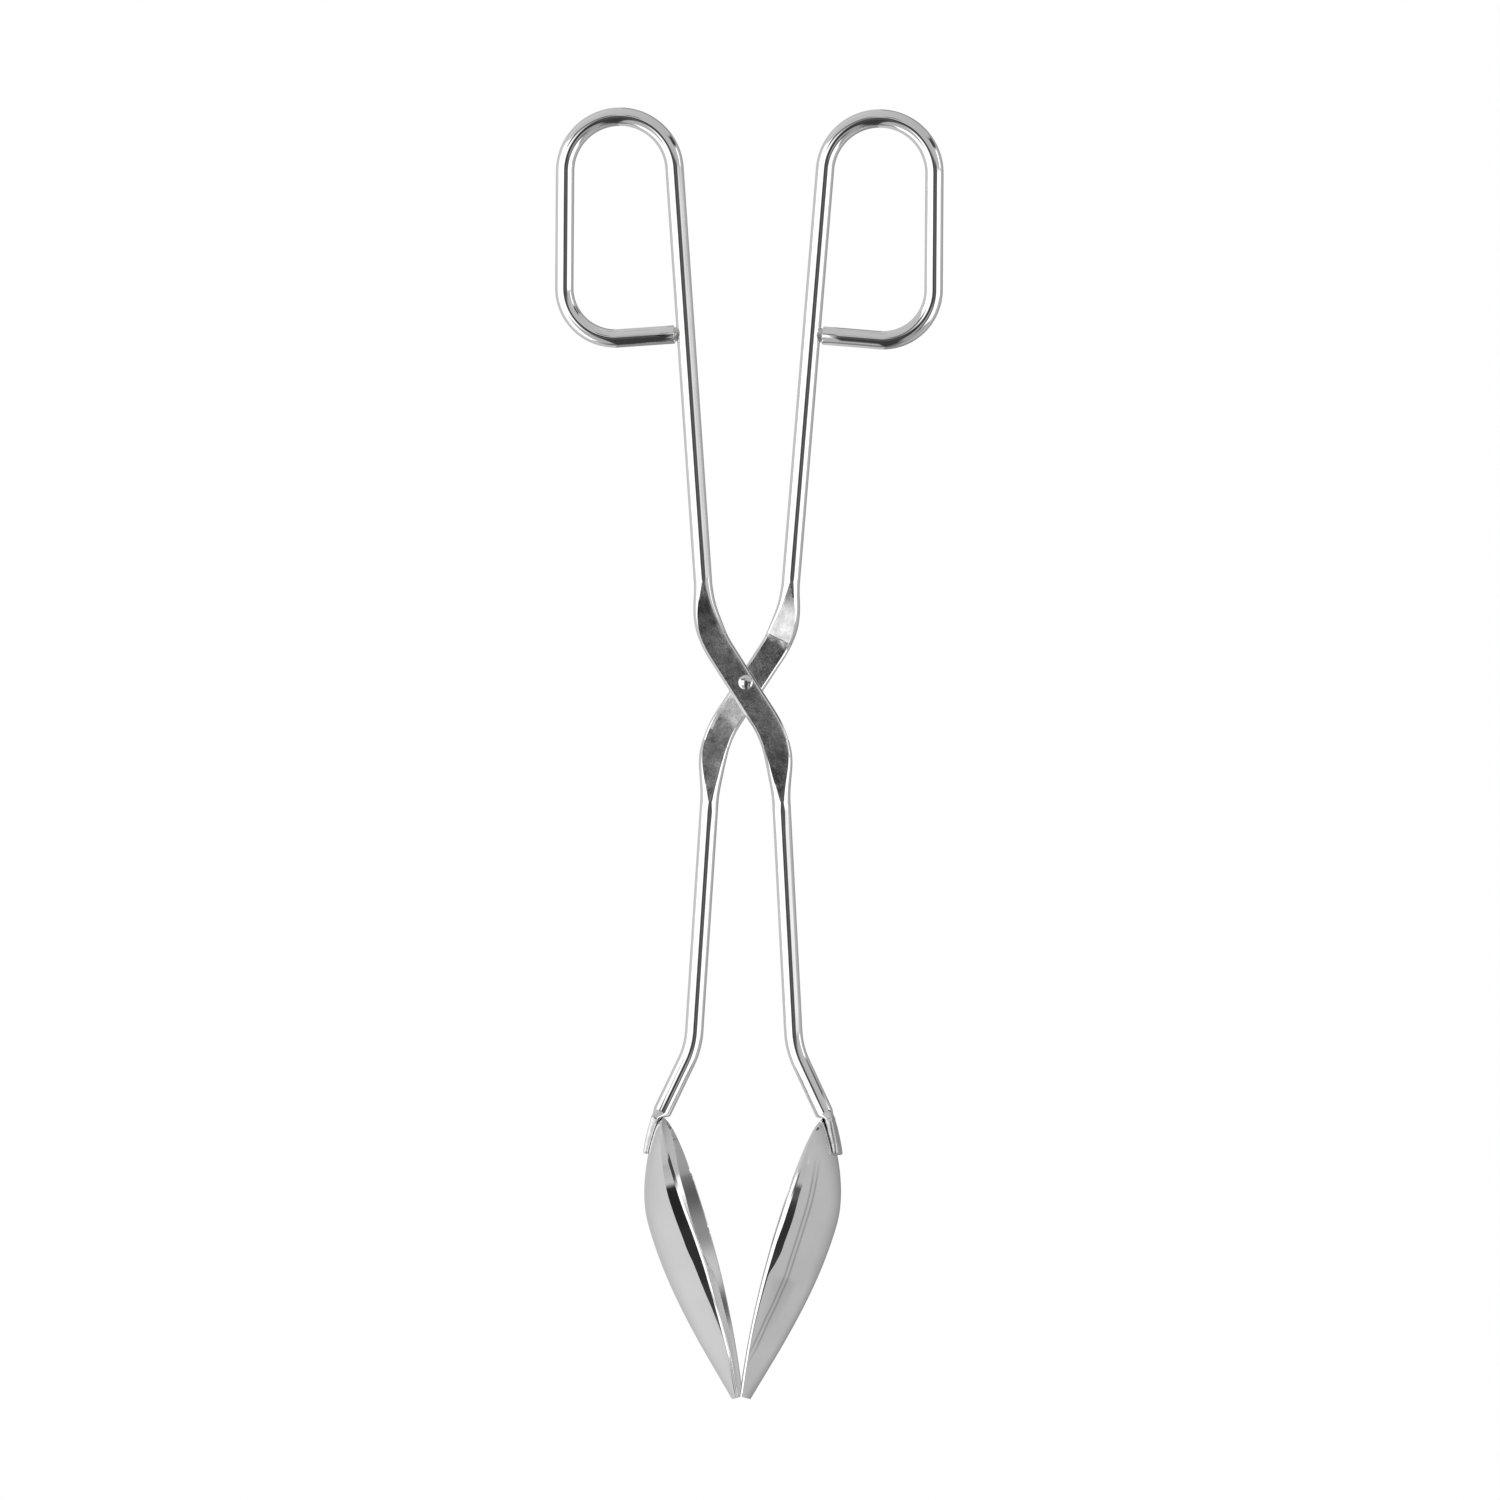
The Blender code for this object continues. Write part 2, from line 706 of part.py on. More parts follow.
def build_half(side, turn, height, polished, satin, weld_metal):
    """One arm with its spoon and welds, on an empty at the rivet's middle."""
    matrix = Matrix.Translation((0.0, 0.0, height)) @ Matrix.Rotation(turn, 4, "Z")
    half = place(side + "_half", None, None, matrix)
    arm = place(side + "_arm", arm_mesh(polished), half)
    spoon = place(side + "_spoon", spoon_mesh(satin), half)
    cut(arm, place_cutter(side + "_cut_bore", bore_mesh(polished), half))

    lens = lens_mesh("lens", SPOT_WELD_RADIUS, SPOT_WELD_HALF_THICKNESS, weld_metal)
    room = 0.5 * GAP
    wide = SPOT_WELD_RADIUS + room
    thick = SPOT_WELD_HALF_THICKNESS + room
    pocket_lens = lens_mesh("pocket", wide, thick, polished)
    for name, distance in zip(("upper", "lower"), SPOT_WELD_STATIONS):
        matrix = spot_weld_matrix(distance)
        place(f"{side}_spot_weld_{name}", lens, half, matrix)
        pocket = place_cutter(f"{side}_cut_pocket_{name}", pocket_lens, half, matrix)
        cut(arm, pocket)
        cut(spoon, pocket)

    weld = place(side + "_loop_weld", loop_weld_mesh(weld_metal), half, loop_weld_matrix())
    cut(weld, place_cutter(side + "_cut_handle", handle_cut_mesh(polished), half))


def build():
    clear_scene()
    polished = steel("polished_steel", (0.62, 0.62, 0.61), 0.08)
    satin = steel("satin_steel", (0.6, 0.6, 0.6), 0.22)
    weld_metal = steel("weld_metal", (0.45, 0.44, 0.42), 0.4)
    height = rivet_height()
    build_half("front", 0.0, height, polished, satin, weld_metal)
    build_half("back", math.pi, height, polished, satin, weld_metal)
    rivet_matrix = Matrix.Translation((0.0, 0.0, height))
    place("pivot_rivet", rivet_mesh(polished), None, rivet_matrix)


build()
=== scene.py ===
"""Looks of the spoon-jawed scissor tongs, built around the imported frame.

The fine pieces follow the same wire path and spoon curves as the CAD. Each half is
made with the rivet's middle at (0, 0, 0) and raised to where the frame's hinge is;
half a turn about Z turns the front half into the back half.
"""

import json
import math

import bmesh
import bpy
from mathutils import Matrix, Vector, noise


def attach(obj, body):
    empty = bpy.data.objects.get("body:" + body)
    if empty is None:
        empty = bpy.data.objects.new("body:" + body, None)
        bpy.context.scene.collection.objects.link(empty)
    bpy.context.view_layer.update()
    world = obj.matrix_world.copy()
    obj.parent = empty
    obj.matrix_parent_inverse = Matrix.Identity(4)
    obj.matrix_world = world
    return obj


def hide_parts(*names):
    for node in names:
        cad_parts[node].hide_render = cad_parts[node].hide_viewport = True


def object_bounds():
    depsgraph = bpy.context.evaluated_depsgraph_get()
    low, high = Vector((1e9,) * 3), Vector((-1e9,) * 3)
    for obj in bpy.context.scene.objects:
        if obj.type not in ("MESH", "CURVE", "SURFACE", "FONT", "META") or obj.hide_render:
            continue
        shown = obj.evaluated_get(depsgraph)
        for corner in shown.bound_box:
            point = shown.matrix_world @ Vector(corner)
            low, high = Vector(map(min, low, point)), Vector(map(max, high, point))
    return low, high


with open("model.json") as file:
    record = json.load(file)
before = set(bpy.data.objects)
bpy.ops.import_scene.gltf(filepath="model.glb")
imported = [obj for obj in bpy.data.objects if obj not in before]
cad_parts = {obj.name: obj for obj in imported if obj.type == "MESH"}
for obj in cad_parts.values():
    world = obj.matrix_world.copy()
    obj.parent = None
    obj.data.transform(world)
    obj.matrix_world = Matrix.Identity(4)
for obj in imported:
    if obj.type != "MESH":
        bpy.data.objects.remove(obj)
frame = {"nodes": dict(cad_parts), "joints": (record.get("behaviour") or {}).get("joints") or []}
CAD_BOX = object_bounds()

MM = 0.001
HINGE = frame["joints"][0]
RIVET_MIDDLE = Vector(HINGE["pos_m"])

# Wire and its bends, from the crossing point outward. Angles are in degrees
# from the vertical.
WIRE_RADIUS = 2.0 * MM
CROSSING_ANGLE = 33.0
CROSSING_DROP = 1.78 * MM
UPPER_FLAT = 10.0 * MM
HANDLE_BEND_RADIUS = 24.0 * MM
HANDLE_ANGLE = 4.34
HANDLE_LENGTH = 93.9 * MM
LOOP_TOP_RADIUS = 11.9 * MM
LOOP_SIDE = 25.2 * MM
LOOP_CORNER_RADIUS = 11.0 * MM
LOWER_FLAT = 7.1 * MM
SHANK_BEND_RADIUS = 22.0 * MM
SHANK_ANGLE = 3.38
SHANK_LENGTH = 57.4 * MM
TOE_BEND_RADIUS = 18.0 * MM
TOE_ANGLE = 25.3
TOE_LENGTH = 11.9 * MM

# Pressed flat at the crossing. Lengths run along the wire from the crossing.
FLAT_HALF_LENGTH = 15.0 * MM
TAPER_END = 26.0 * MM
RECESS_HALF_LENGTH = 13.2 * MM
SHOULDER_LENGTH = 0.25 * MM
SHOULDER_HEIGHT = 0.9 * MM
STRAP_HALF_WIDTH = 3.05 * MM
STRAP_FACE_HALF_WIDTH = 2.45 * MM
STRAP_PRESS_DEPTH = 0.05 * MM
STRAP_EDGE_ANGLE = 26.0
FACET_FULL_LENGTH = 14.0 * MM
FACET_TIP_POWER = 1.5
OUTER_FACET_LEAN = 5.0
UPPER_RISE_LEAN = -9.0
LOWER_RISE_LEAN = 4.0
RECESS_LEANS = ((-13.5, 1.0), (-2.0, 0.0), (3.0, -8.0), (8.0, -3.0), (13.5, -1.0))

# Paddle at the wire's end. Its stations are lengths down the spoon's back.
PADDLE_HALF_WIDTH = 2.8 * MM
PADDLE_THICKNESS = (1.6 * MM, 1.15 * MM)
PADDLE_STATIONS = (0.8 * MM, 6.4 * MM)
PADDLE_CORNER = 0.45 * MM
PADDLE_END_ROUND = 0.4 * MM
PADDLE_SHOULDER = 1.0 * MM
PADDLE_EDGE_ANGLE = 31.0
PADDLE_NECK_RINGS = 14
PADDLE_RINGS = 26
PADDLE_END_RINGS = 5
SPOT_WELD_STATIONS = (2.6 * MM, 5.0 * MM)
SPOT_MARK_RADIUS = 1.05 * MM
SPOT_MARK_DEPTH = 0.09 * MM

# Spoon. The curves are Bezier points, in millimetres: length, then depth below
# the mouth or half width.
SPOON_LENGTH = 62.8 * MM
SPOON_NECK = Vector((17.35 * MM, 0.0, -94.5 * MM))
SPOON_TIP_HALF_GAP = 0.1 * MM
SPOON_RIM_BOW = 1.4 * MM
SPOON_SHEET = 1.0 * MM
SPOON_ROLL = 6.0
SPOON_DEPTH_CURVES = (
    ((0.0, 0.45), (3.5, 3.6), (12.0, 9.15), (21.5, 9.15)),
    ((21.5, 9.15), (35.5, 9.15), (48.5, 5.75), (62.8, 1.9)),
)
SPOON_WIDTH_CURVES = (
    ((0.0, 0.9), (1.2, 6.5), (5.0, 12.0), (20.0, 12.0)),
    ((20.0, 12.0), (38.0, 12.0), (53.0, 7.6), (62.8, 3.4)),
)

# Walls of the spoon: a lip, a band below it, then a crease and the shallow arc of
# the bowl. The rise lifts lip, band and crease above the mouth. Near is the -Y side
# of the front half, far its +Y side. Curves are (share of the spoon's length,
# height in millimetres). Leans are degrees, positive where the wall spreads outward
# on its way down. Handles are shares of the chord from the crease to the keel.
NEAR_BAND = (
    (0.0, 0.3),
    (0.14, 0.9),
    (0.27, 1.3),
    (0.38, 1.6),
    (0.45, 1.6),
    (0.52, 1.1),
    (0.58, 0.3),
    (1.0, 0.05),
)
FAR_BAND = (
    (0.0, 0.3),
    (0.14, 1.2),
    (0.31, 2.2),
    (0.42, 2.25),
    (0.52, 1.85),
    (0.63, 1.2),
    (0.7, 0.65),
    (0.85, 0.1),
    (1.0, 0.1),
)
NEAR_LEAN = -12.0
FAR_LEAN = 9.0
NEAR_CREASE_LEAN = 53.0
FAR_CREASE_LEAN = 43.0
NEAR_LIP = ((0.0, 0.15), (0.1, 0.5), (0.25, 1.45), (0.36, 1.45), (0.46, 1.15), (1.0, 0.7))
FAR_LIP = ((0.0, 0.15), (0.1, 0.45), (0.25, 0.6), (1.0, 0.6))
NEAR_LIP_ANGLES = (3.0, 60.0)
FAR_LIP_ANGLES = (45.0, 55.0)
NEAR_RISE = ((0.0, 0.0), (1.0, 0.0))
FAR_RISE = ((0.0, 0.0), (0.25, 0.0), (0.45, 0.55), (0.6, 0.8), (0.82, 0.8), (1.0, 0.1))
NEAR_HANDLES = (0.50, 0.20)
FAR_HANDLES = (0.45, 0.30)
KEEL_OFFSETS = ((0.0, 0.0), (0.13, 0.0), (0.35, 1.5), (0.75, 1.0), (1.0, 0.3))

# Painted reflection: twin dark lines on the near wall's arc, painted into the colour for a softbox's
# reflected edges: (share of the length, share of the depth). Lengths are in millimetres, and each
# line fades in and out along the spoon.
PAINTED_REFLECTION_LINE = (
    (0.12, 0.5),
    (0.35, 0.49),
    (0.5, 0.485),
    (0.62, 0.45),
    (0.72, 0.38),
    (0.82, 0.28),
    (0.92, 0.1),
)
PAINTED_REFLECTION_OFFSET = 0.36
PAINTED_REFLECTION_WIDTH = 0.16
PAINTED_REFLECTION_DARKNESS = 0.4
PAINTED_REFLECTION_START = (8.0, 14.0)
PAINTED_REFLECTION_END = (50.0, 57.0)

# What a spoon point's "mark" holds when it isn't a distance from the painted reflection lines.
INSIDE_MARK = -199.0
INSIDE_BELOW = -150.0
EDGE_MARK = -99.0
FAR_WALL_MARK = 99.0

# Rivet and loop weld.
RIVET_STANDOFF = 0.02 * MM
RIVET_TAIL_RADIUS = 1.6 * MM
RIVET_TAIL_HEIGHT = 0.7 * MM
RIVET_HEAD_RADIUS = 1.95 * MM
RIVET_HEAD_HEIGHT = 0.85 * MM
RIVET_SHANK_RADIUS = 1.25 * MM
RIVET_DOME_STEPS = 14
RIVET_DOME_EDGE = 0.12 * MM
RIVET_SIDES = 64
LOOP_WELD_LENGTH = 0.45 * MM
LOOP_WELD_RADIUS = 1.55 * MM
LOOP_WELD_WAIST = 0.04
LOOP_WELD_WAVE = 0.02
LOOP_WELD_RINGS = 14
LOOP_WELD_SIDES = 48
LOOP_END_CHAMFER = 0.25 * MM
LOOP_END_RINGS = 4
GAP = 0.06 * MM

# Depth of the metal's bump at full strength.
BUMP_DISTANCE = 0.02 * MM

# Mesh fineness.
DEGREES_PER_RING = 2.0
TAPER_RING_STEP = 0.35 * MM
STRAIGHT_RING_STEP = 5.0 * MM
FACET_STEPS = 6
FLANK_STEPS = 13
SPOON_RINGS = 150
BAND_STEPS = 3
ARC_STEPS = 22
LIP_STEPS = 6
TANGENT_STEP = 0.2 * MM


# ------------------------------------------------------------------- helpers


def mix(a, b, t):
    return a + (b - a) * t


def smoothstep(x):
    x = min(max(x, 0.0), 1.0)
    return x * x * (3.0 - 2.0 * x)


def heading_vector(degrees):
    """Unit vector in the XZ plane: 0 points along +X, 90 along +Z."""
    angle = math.radians(degrees)
    return Vector((math.cos(angle), 0.0, math.sin(angle)))


def left_of(tangent):
    """Unit vector a quarter turn from the tangent, the way +Z is from +X."""
    return Vector((-tangent.z, 0.0, tangent.x))


def on_curve(points, x):
    """Value at x of a smooth curve through (x, value) points that never overshoots."""
    steps = [(b[1] - a[1]) / (b[0] - a[0]) for a, b in zip(points, points[1:])]
    slopes = [0.0] * len(points)
    for i in range(1, len(points) - 1):
        if steps[i - 1] * steps[i] > 0.0:
            slopes[i] = 2.0 * steps[i - 1] * steps[i] / (steps[i - 1] + steps[i])
    i = next((k for k in range(len(steps)) if x <= points[k + 1][0]), len(steps) - 1)
    span = points[i + 1][0] - points[i][0]
    t = min(max((x - points[i][0]) / span, 0.0), 1.0)
    start = points[i][1] + slopes[i] * span * t
    end = points[i + 1][1] - slopes[i + 1] * span * (1.0 - t)
    return mix(start, end, smoothstep(t))


# Material slots of the arm.
WIRE_FINISH = 0
FLAT_FINISH = 1
PADDLE_FINISH = 2

# ------------------------------------------------------------------ wire path


class Station:
    """One place along the wire: length from the crossing, centre, tangent."""

    def __init__(self, length, centre, tangent):
        self.length = length
        self.centre = centre
        self.tangent = tangent


class WireBender:
    """Lays the wire's centreline as straights and bends, with stations."""

    def __init__(self, start, heading):
        self.at = start.copy()
        self.heading = heading
        self.length = 0.0
        self.stations = []
        self.mark()

    def mark(self):
        tangent = heading_vector(self.heading)
        self.stations.append(Station(self.length, self.at.copy(), tangent))

    def stops(self, distance, step):
        """Lengths for stations over the next stretch, closer in the tapers."""
        begin = self.length
        count = max(1, math.ceil(distance / step))
        chosen = {begin + distance * (i + 1) / count for i in range(count)}
        chosen |= {mark for mark in press_marks() if begin < mark < begin + distance}
        ordered = sorted(chosen)
        kept = [ordered[-1]]
        for stop in reversed(ordered[:-1]):
            if kept[-1] - stop > 0.05 * MM:
                kept.append(stop)
        return kept[::-1]

    def straight(self, distance):
        begin = self.length
        start = self.at.copy()
        for stop in self.stops(distance, STRAIGHT_RING_STEP):
            self.at = start + heading_vector(self.heading) * (stop - begin)
            self.length = stop
            self.mark()

    def bend(self, angle, radius):
        """A bend of that many degrees; a positive one turns from +X to +Z."""
        side = math.copysign(radius, angle)
        centre = self.at + left_of(heading_vector(self.heading)) * side
        begin = self.length
        distance = math.radians(abs(angle)) * radius
        first = self.heading
        step = math.radians(DEGREES_PER_RING) * radius
        for stop in self.stops(distance, step):
            self.heading = first + angle * (stop - begin) / distance
            self.at = centre - left_of(heading_vector(self.heading)) * side
            self.length = stop
            self.mark()


def press_marks():
    """Lengths that need a station: the recess's shoulder and the taper."""
    shoulder = [RECESS_HALF_LENGTH + SHOULDER_LENGTH * i / 4 for i in range(5)]
    span = TAPER_END - RECESS_HALF_LENGTH - SHOULDER_LENGTH
    count = round(span / TAPER_RING_STEP)
    start = RECESS_HALF_LENGTH + SHOULDER_LENGTH
    return shoulder + [start + span * (i + 1) / count for i in range(count)]


def handle_path():
    """From the crossing up the handle and round the finger loop."""
    bender = WireBender(Vector((0.0, 0.0, -CROSSING_DROP)), 90.0 + CROSSING_ANGLE)
    bender.straight(UPPER_FLAT)
    bender.bend(HANDLE_ANGLE - CROSSING_ANGLE, HANDLE_BEND_RADIUS)
    on_handle = bender.at.copy()
    bender.straight(HANDLE_LENGTH)
    bender.bend(180.0 - HANDLE_ANGLE, LOOP_TOP_RADIUS)
    bender.straight(LOOP_SIDE)
    bender.bend(90.0 + HANDLE_ANGLE, LOOP_CORNER_RADIUS)
    to_handle = (on_handle - bender.at).dot(heading_vector(bender.heading))
    bender.straight(to_handle - WIRE_RADIUS - LOOP_WELD_LENGTH - LOOP_END_CHAMFER)
    return bender.stations


def toe_path():
    """From the crossing down the shank to where the paddle starts."""
    bender = WireBender(Vector((0.0, 0.0, -CROSSING_DROP)), CROSSING_ANGLE - 90.0)
    bender.straight(LOWER_FLAT)
    bender.bend(SHANK_ANGLE - CROSSING_ANGLE, SHANK_BEND_RADIUS)
    bender.straight(SHANK_LENGTH)
    bender.bend(TOE_ANGLE - SHANK_ANGLE, TOE_BEND_RADIUS)
    bender.straight(TOE_LENGTH)
    return bender.stations


# -------------------------------------------------------------- wire sections

# A section has an outer facet at -Y, a flank, an inner facet at +Y and a flank.
RING_COUNT = 2 * (FACET_STEPS + 2 * FLANK_STEPS)
ROUND_FACET_ANGLE = 180.0 * FACET_STEPS / RING_COUNT
TIP_FACET_ANGLE = 1.0
FACET_OPENING = 1.5 * MM


def round_section(radius, facet_angle=ROUND_FACET_ANGLE):
    """(across, y) points on a circle; the facets span twice that angle."""
    quarter = [mix(facet_angle, 90.0, i / FLANK_STEPS) for i in range(FLANK_STEPS + 1)]
    facet = [mix(-facet_angle, facet_angle, i / FACET_STEPS) for i in range(FACET_STEPS)]
    angles = facet + quarter[:-1] + [180.0 - angle for angle in quarter[:0:-1]]
    angles += [180.0 + angle for angle in facet] + [180.0 + angle for angle in quarter[:-1]]
    angles += [360.0 - angle for angle in quarter[:0:-1]]
    turns = [math.radians(angle) for angle in angles]
    return [(radius * math.sin(turn), -radius * math.cos(turn)) for turn in turns]


def quarter_flank(face_half, edge_half, face_height, middle, edge_angle):
    """From the facet's edge round to the middle of the wire's side."""
    first = math.radians(edge_angle)
    points = []
    for i in range(FLANK_STEPS + 1):
        angle = mix(first, 0.5 * math.pi, i / FLANK_STEPS)
        out = (math.sin(angle) - math.sin(first)) / (1.0 - math.sin(first))
        across = mix(face_half, edge_half, out)
        points.append((across, middle + (face_height - middle) * math.cos(angle) / math.cos(first)))
    return points


def recess_lean(length):
    """Lean of the recess's floor, uneven as the press leaves it."""
    return on_curve(RECESS_LEANS, length / MM)


def inner_height(length):
    """Height of the inner facet: in the recess, up the shoulder, then rising."""
    up = smoothstep((length - RECESS_HALF_LENGTH) / SHOULDER_LENGTH)
    rise = min(max((length - RECESS_HALF_LENGTH) / (TAPER_END - RECESS_HALF_LENGTH), 0.0), 1.0)
    return mix(-0.5 * GAP, mix(SHOULDER_HEIGHT, WIRE_RADIUS, rise), up)


def wire_section(length, floor_lean, rise_lean):
    """(across, y) points of the wire: pressed flat near the crossing, else round."""
    if length >= TAPER_END - 0.01 * MM:
        opening = smoothstep((length - TAPER_END) / FACET_OPENING)
        return round_section(WIRE_RADIUS, mix(TIP_FACET_ANGLE, ROUND_FACET_ANGLE, opening))
    share = smoothstep((TAPER_END - length) / (TAPER_END - FLAT_HALF_LENGTH))
    taper = min((TAPER_END - length) / (TAPER_END - FACET_FULL_LENGTH), 1.0)
    lens = 1.0 - (1.0 - taper) ** FACET_TIP_POWER
    edge = mix(WIRE_RADIUS, STRAP_HALF_WIDTH, share)
    face = max(STRAP_FACE_HALF_WIDTH * lens, 0.03 * MM)
    outer = -WIRE_RADIUS + STRAP_PRESS_DEPTH * share
    inner = inner_height(length)
    middle = 0.5 * (outer + inner)
    low = quarter_flank(face, edge, outer, middle, STRAP_EDGE_ANGLE * lens)
    high = quarter_flank(face, edge, inner, middle, STRAP_EDGE_ANGLE * lens)
    facet = [mix(-face, face, i / FACET_STEPS) for i in range(FACET_STEPS)]
    outer_slope = math.tan(math.radians(OUTER_FACET_LEAN)) * lens
    lean = floor_lean if length <= RECESS_HALF_LENGTH else rise_lean
    inner_slope = math.tan(math.radians(lean)) * lens
    points = [(across, outer + across * outer_slope) for across in facet]
    points += leaned(low[:-1], outer_slope, face, edge)
    points += leaned(high[:0:-1], inner_slope, face, edge)
    points += [(-across, inner - across * inner_slope) for across in facet]
    points += leaned([(-across, y) for across, y in high[:-1]], inner_slope, face, edge)
    points += leaned([(-across, y) for across, y in low[:0:-1]], outer_slope, face, edge)
    return points


def leaned(flank, slope, face, edge):
    """Shifts a flank's points so that it meets a facet that leans by that slope."""
    result = []
    for across, y in flank:
        fade = (edge - abs(across)) / (edge - face)
        result.append((across, y + math.copysign(face, across) * slope * fade))
    return result


def blend_sections(first, second, t):
    return [(mix(a[0], b[0], t), mix(a[1], b[1], t)) for a, b in zip(first, second)]


def facet_columns():
    """The ring's columns of faces that lie on its two facets."""
    half = RING_COUNT // 2
    outer = set(range(FACET_STEPS))
    return outer | {half + i for i in outer}


def paddle_section(thickness, half_width):
    """(across, y) points of the flattened paddle, wide along Y.

    Each end's middle point sits halfway between the true middle and the corner.
    """
    corner = min(PADDLE_CORNER, 0.49 * thickness)
    side_angle = 90.0 - PADDLE_EDGE_ANGLE
    points = []
    for across, y in round_section(1.0):
        angle = math.degrees(math.atan2(y, across))
        from_side = min(abs(angle), 180.0 - abs(angle))
        side = math.copysign(1.0, across)
        up = math.copysign(1.0, y)
        if from_side <= side_angle:
            run = from_side / side_angle
            points.append((side * 0.5 * thickness, up * run * (half_width - corner)))
        else:
            turn = math.radians(90.0 * (from_side - 90.0 + PADDLE_EDGE_ANGLE) / PADDLE_EDGE_ANGLE)
            reach = 0.5 * thickness - corner * (1.0 - math.cos(turn))
            if from_side > 89.9:
                reach *= 0.5
            height = half_width - corner * (1.0 - math.sin(turn))
            points.append((side * reach, up * height))
    return points


def ring_at(centre, tangent, section):
    across = left_of(tangent)
    return [centre + across * x + Vector((0.0, y, 0.0)) for x, y in section]


# ---------------------------------------------------------------- spoon shape


def bezier(points, t):
    a, b, c, d = (Vector(point) for point in points)
    s = 1.0 - t
    return a * s**3 + b * 3.0 * s * s * t + c * 3.0 * s * t * t + d * t**3


def height_on(curves, distance):
    """Height at that distance along a chain of Bezier curves."""
    target = distance / MM
    points = next((curve for curve in curves if target <= curve[-1][0]), curves[-1])
    low = 0.0
    high = 1.0
    for _ in range(40):
        middle = 0.5 * (low + high)
        if bezier(points, middle).x < target:
            low = middle
        else:
            high = middle
    return bezier(points, low).y * MM


def spoon_axes():
    """Unit vectors along the mouth, neck to tip, and from the mouth to the back."""
    inward = SPOON_NECK.x - SPOON_TIP_HALF_GAP
    drop = math.sqrt(SPOON_LENGTH**2 - inward**2)
    along = Vector((-inward, 0.0, -drop)).normalized()
    return along, left_of(along)


def spoon_roll():
    """The spoon's small roll about the line of its mouth."""
    along, _ = spoon_axes()
    roll = Matrix.Rotation(math.radians(SPOON_ROLL), 4, along)
    return Matrix.Translation(SPOON_NECK) @ roll @ Matrix.Translation(-SPOON_NECK)


def keel_point(distance):
    """Point on the spoon's back, midway across, before the roll."""
    along, outward = spoon_axes()
    depth = height_on(SPOON_DEPTH_CURVES, distance)
    return SPOON_NECK + along * distance + outward * depth


def keel_tangent(distance):
    return (keel_point(distance + TANGENT_STEP) - keel_point(distance)).normalized()


def wall(width, keel, band, lean, crease_lean, handles, start):
    """(across, deep) points from below the lip to the keel, across positive."""
    slope = math.tan(math.radians(lean))
    top = Vector((width - band * max(slope, 0.0), start))
    crease = Vector((top.x + band * slope, start + band))
    chord = (keel - crease).length
    turn = math.radians(crease_lean)
    first = crease + Vector((-math.sin(turn), math.cos(turn))) * handles[0] * chord
    last = keel + Vector((handles[1] * chord, 0.0))
    points = [top.lerp(crease, i / BAND_STEPS) for i in range(BAND_STEPS)]
    for i in range(ARC_STEPS + 1):
        points.append(bezier((crease, first, last, keel), i / ARC_STEPS))
    return points


def lip_points(top, lip, sheet, first, last):
    """From the band's top over the rounded edge to the sheet's inner edge."""
    first, last = math.radians(first), math.radians(last)
    rise = math.sin(last) - math.sin(first)
    run = math.cos(first) - math.cos(last)
    inward = min(lip / rise * run, 0.9 * sheet)
    points = []
    for i in range(LIP_STEPS + 1):
        angle = mix(first, last, i / LIP_STEPS)
        out = (math.cos(first) - math.cos(angle)) / run
        deep = lip * (math.sin(last) - math.sin(angle)) / rise
        points.append(Vector((top - inward * out, deep)))
    return points


# Side of the spoon, band, lean, crease's lean, handles, lip, its angles and the rise.
SPOON_WALLS = (
    (1.0, FAR_BAND, FAR_LEAN, FAR_CREASE_LEAN, FAR_HANDLES, FAR_LIP, FAR_LIP_ANGLES, FAR_RISE),
    (-1.0, NEAR_BAND, NEAR_LEAN, NEAR_CREASE_LEAN, NEAR_HANDLES, NEAR_LIP, NEAR_LIP_ANGLES, NEAR_RISE),
)


def rim_bow(distance):
    """How far the rim stands proud of the straight line from neck to tip."""
    share = distance / SPOON_LENGTH
    return SPOON_RIM_BOW * 4.0 * share * (1.0 - share)


def spoon_walls(distance):
    """For the far and the near wall: (across, deep) outside, inside and lip."""
    share = distance / SPOON_LENGTH
    width = height_on(SPOON_WIDTH_CURVES, distance)
    depth = height_on(SPOON_DEPTH_CURVES, distance) + rim_bow(distance)
    sheet = min(SPOON_SHEET, 0.6 * width)
    inner_depth = max(depth - SPOON_SHEET, 0.12 * depth)
    offset = on_curve(KEEL_OFFSETS, share) * MM
    walls = []
    for side, bands, lean, crease_lean, handles, lips, angles, rises in SPOON_WALLS:
        lip = min(on_curve(lips, share) * MM, 0.3 * depth)
        rise = on_curve(rises, share) * MM
        start = 0.12 * lip
        band = min(on_curve(bands, share) * MM, 0.35 * depth)
        inner_band = min(band + lip - start, 0.5 * inner_depth)
        keel = Vector((side * offset, depth))
        inner_keel = Vector((side * offset, inner_depth))
        outside = wall(width, keel, band, lean, crease_lean, handles, lip - rise)
        inside = wall(width - sheet, inner_keel, inner_band, lean, crease_lean, handles, start - rise)
        edge = lip_points(outside[0].x, lip, sheet, *angles)
        edge = [point - Vector((0.0, rise)) for point in edge]
        mirror = Matrix.Scale(side, 2, Vector((1.0, 0.0)))
        walls.append([[mirror @ point for point in points] for points in (outside, inside, edge)])
    return walls


def spoon_ring(distance):
    """Outline of the sheet across the spoon: the far wall, then the near wall."""
    along, outward = spoon_axes()
    walls = spoon_walls(distance)
    far, near = (inside[::-1] + edge[:0:-1] + outside for outside, inside, edge in walls)
    mouth = SPOON_NECK + along * distance - outward * rim_bow(distance)
    section = far + near[-2::-1][:-1]
    return [mouth + outward * point.y + Vector((0.0, point.x, 0.0)) for point in section]


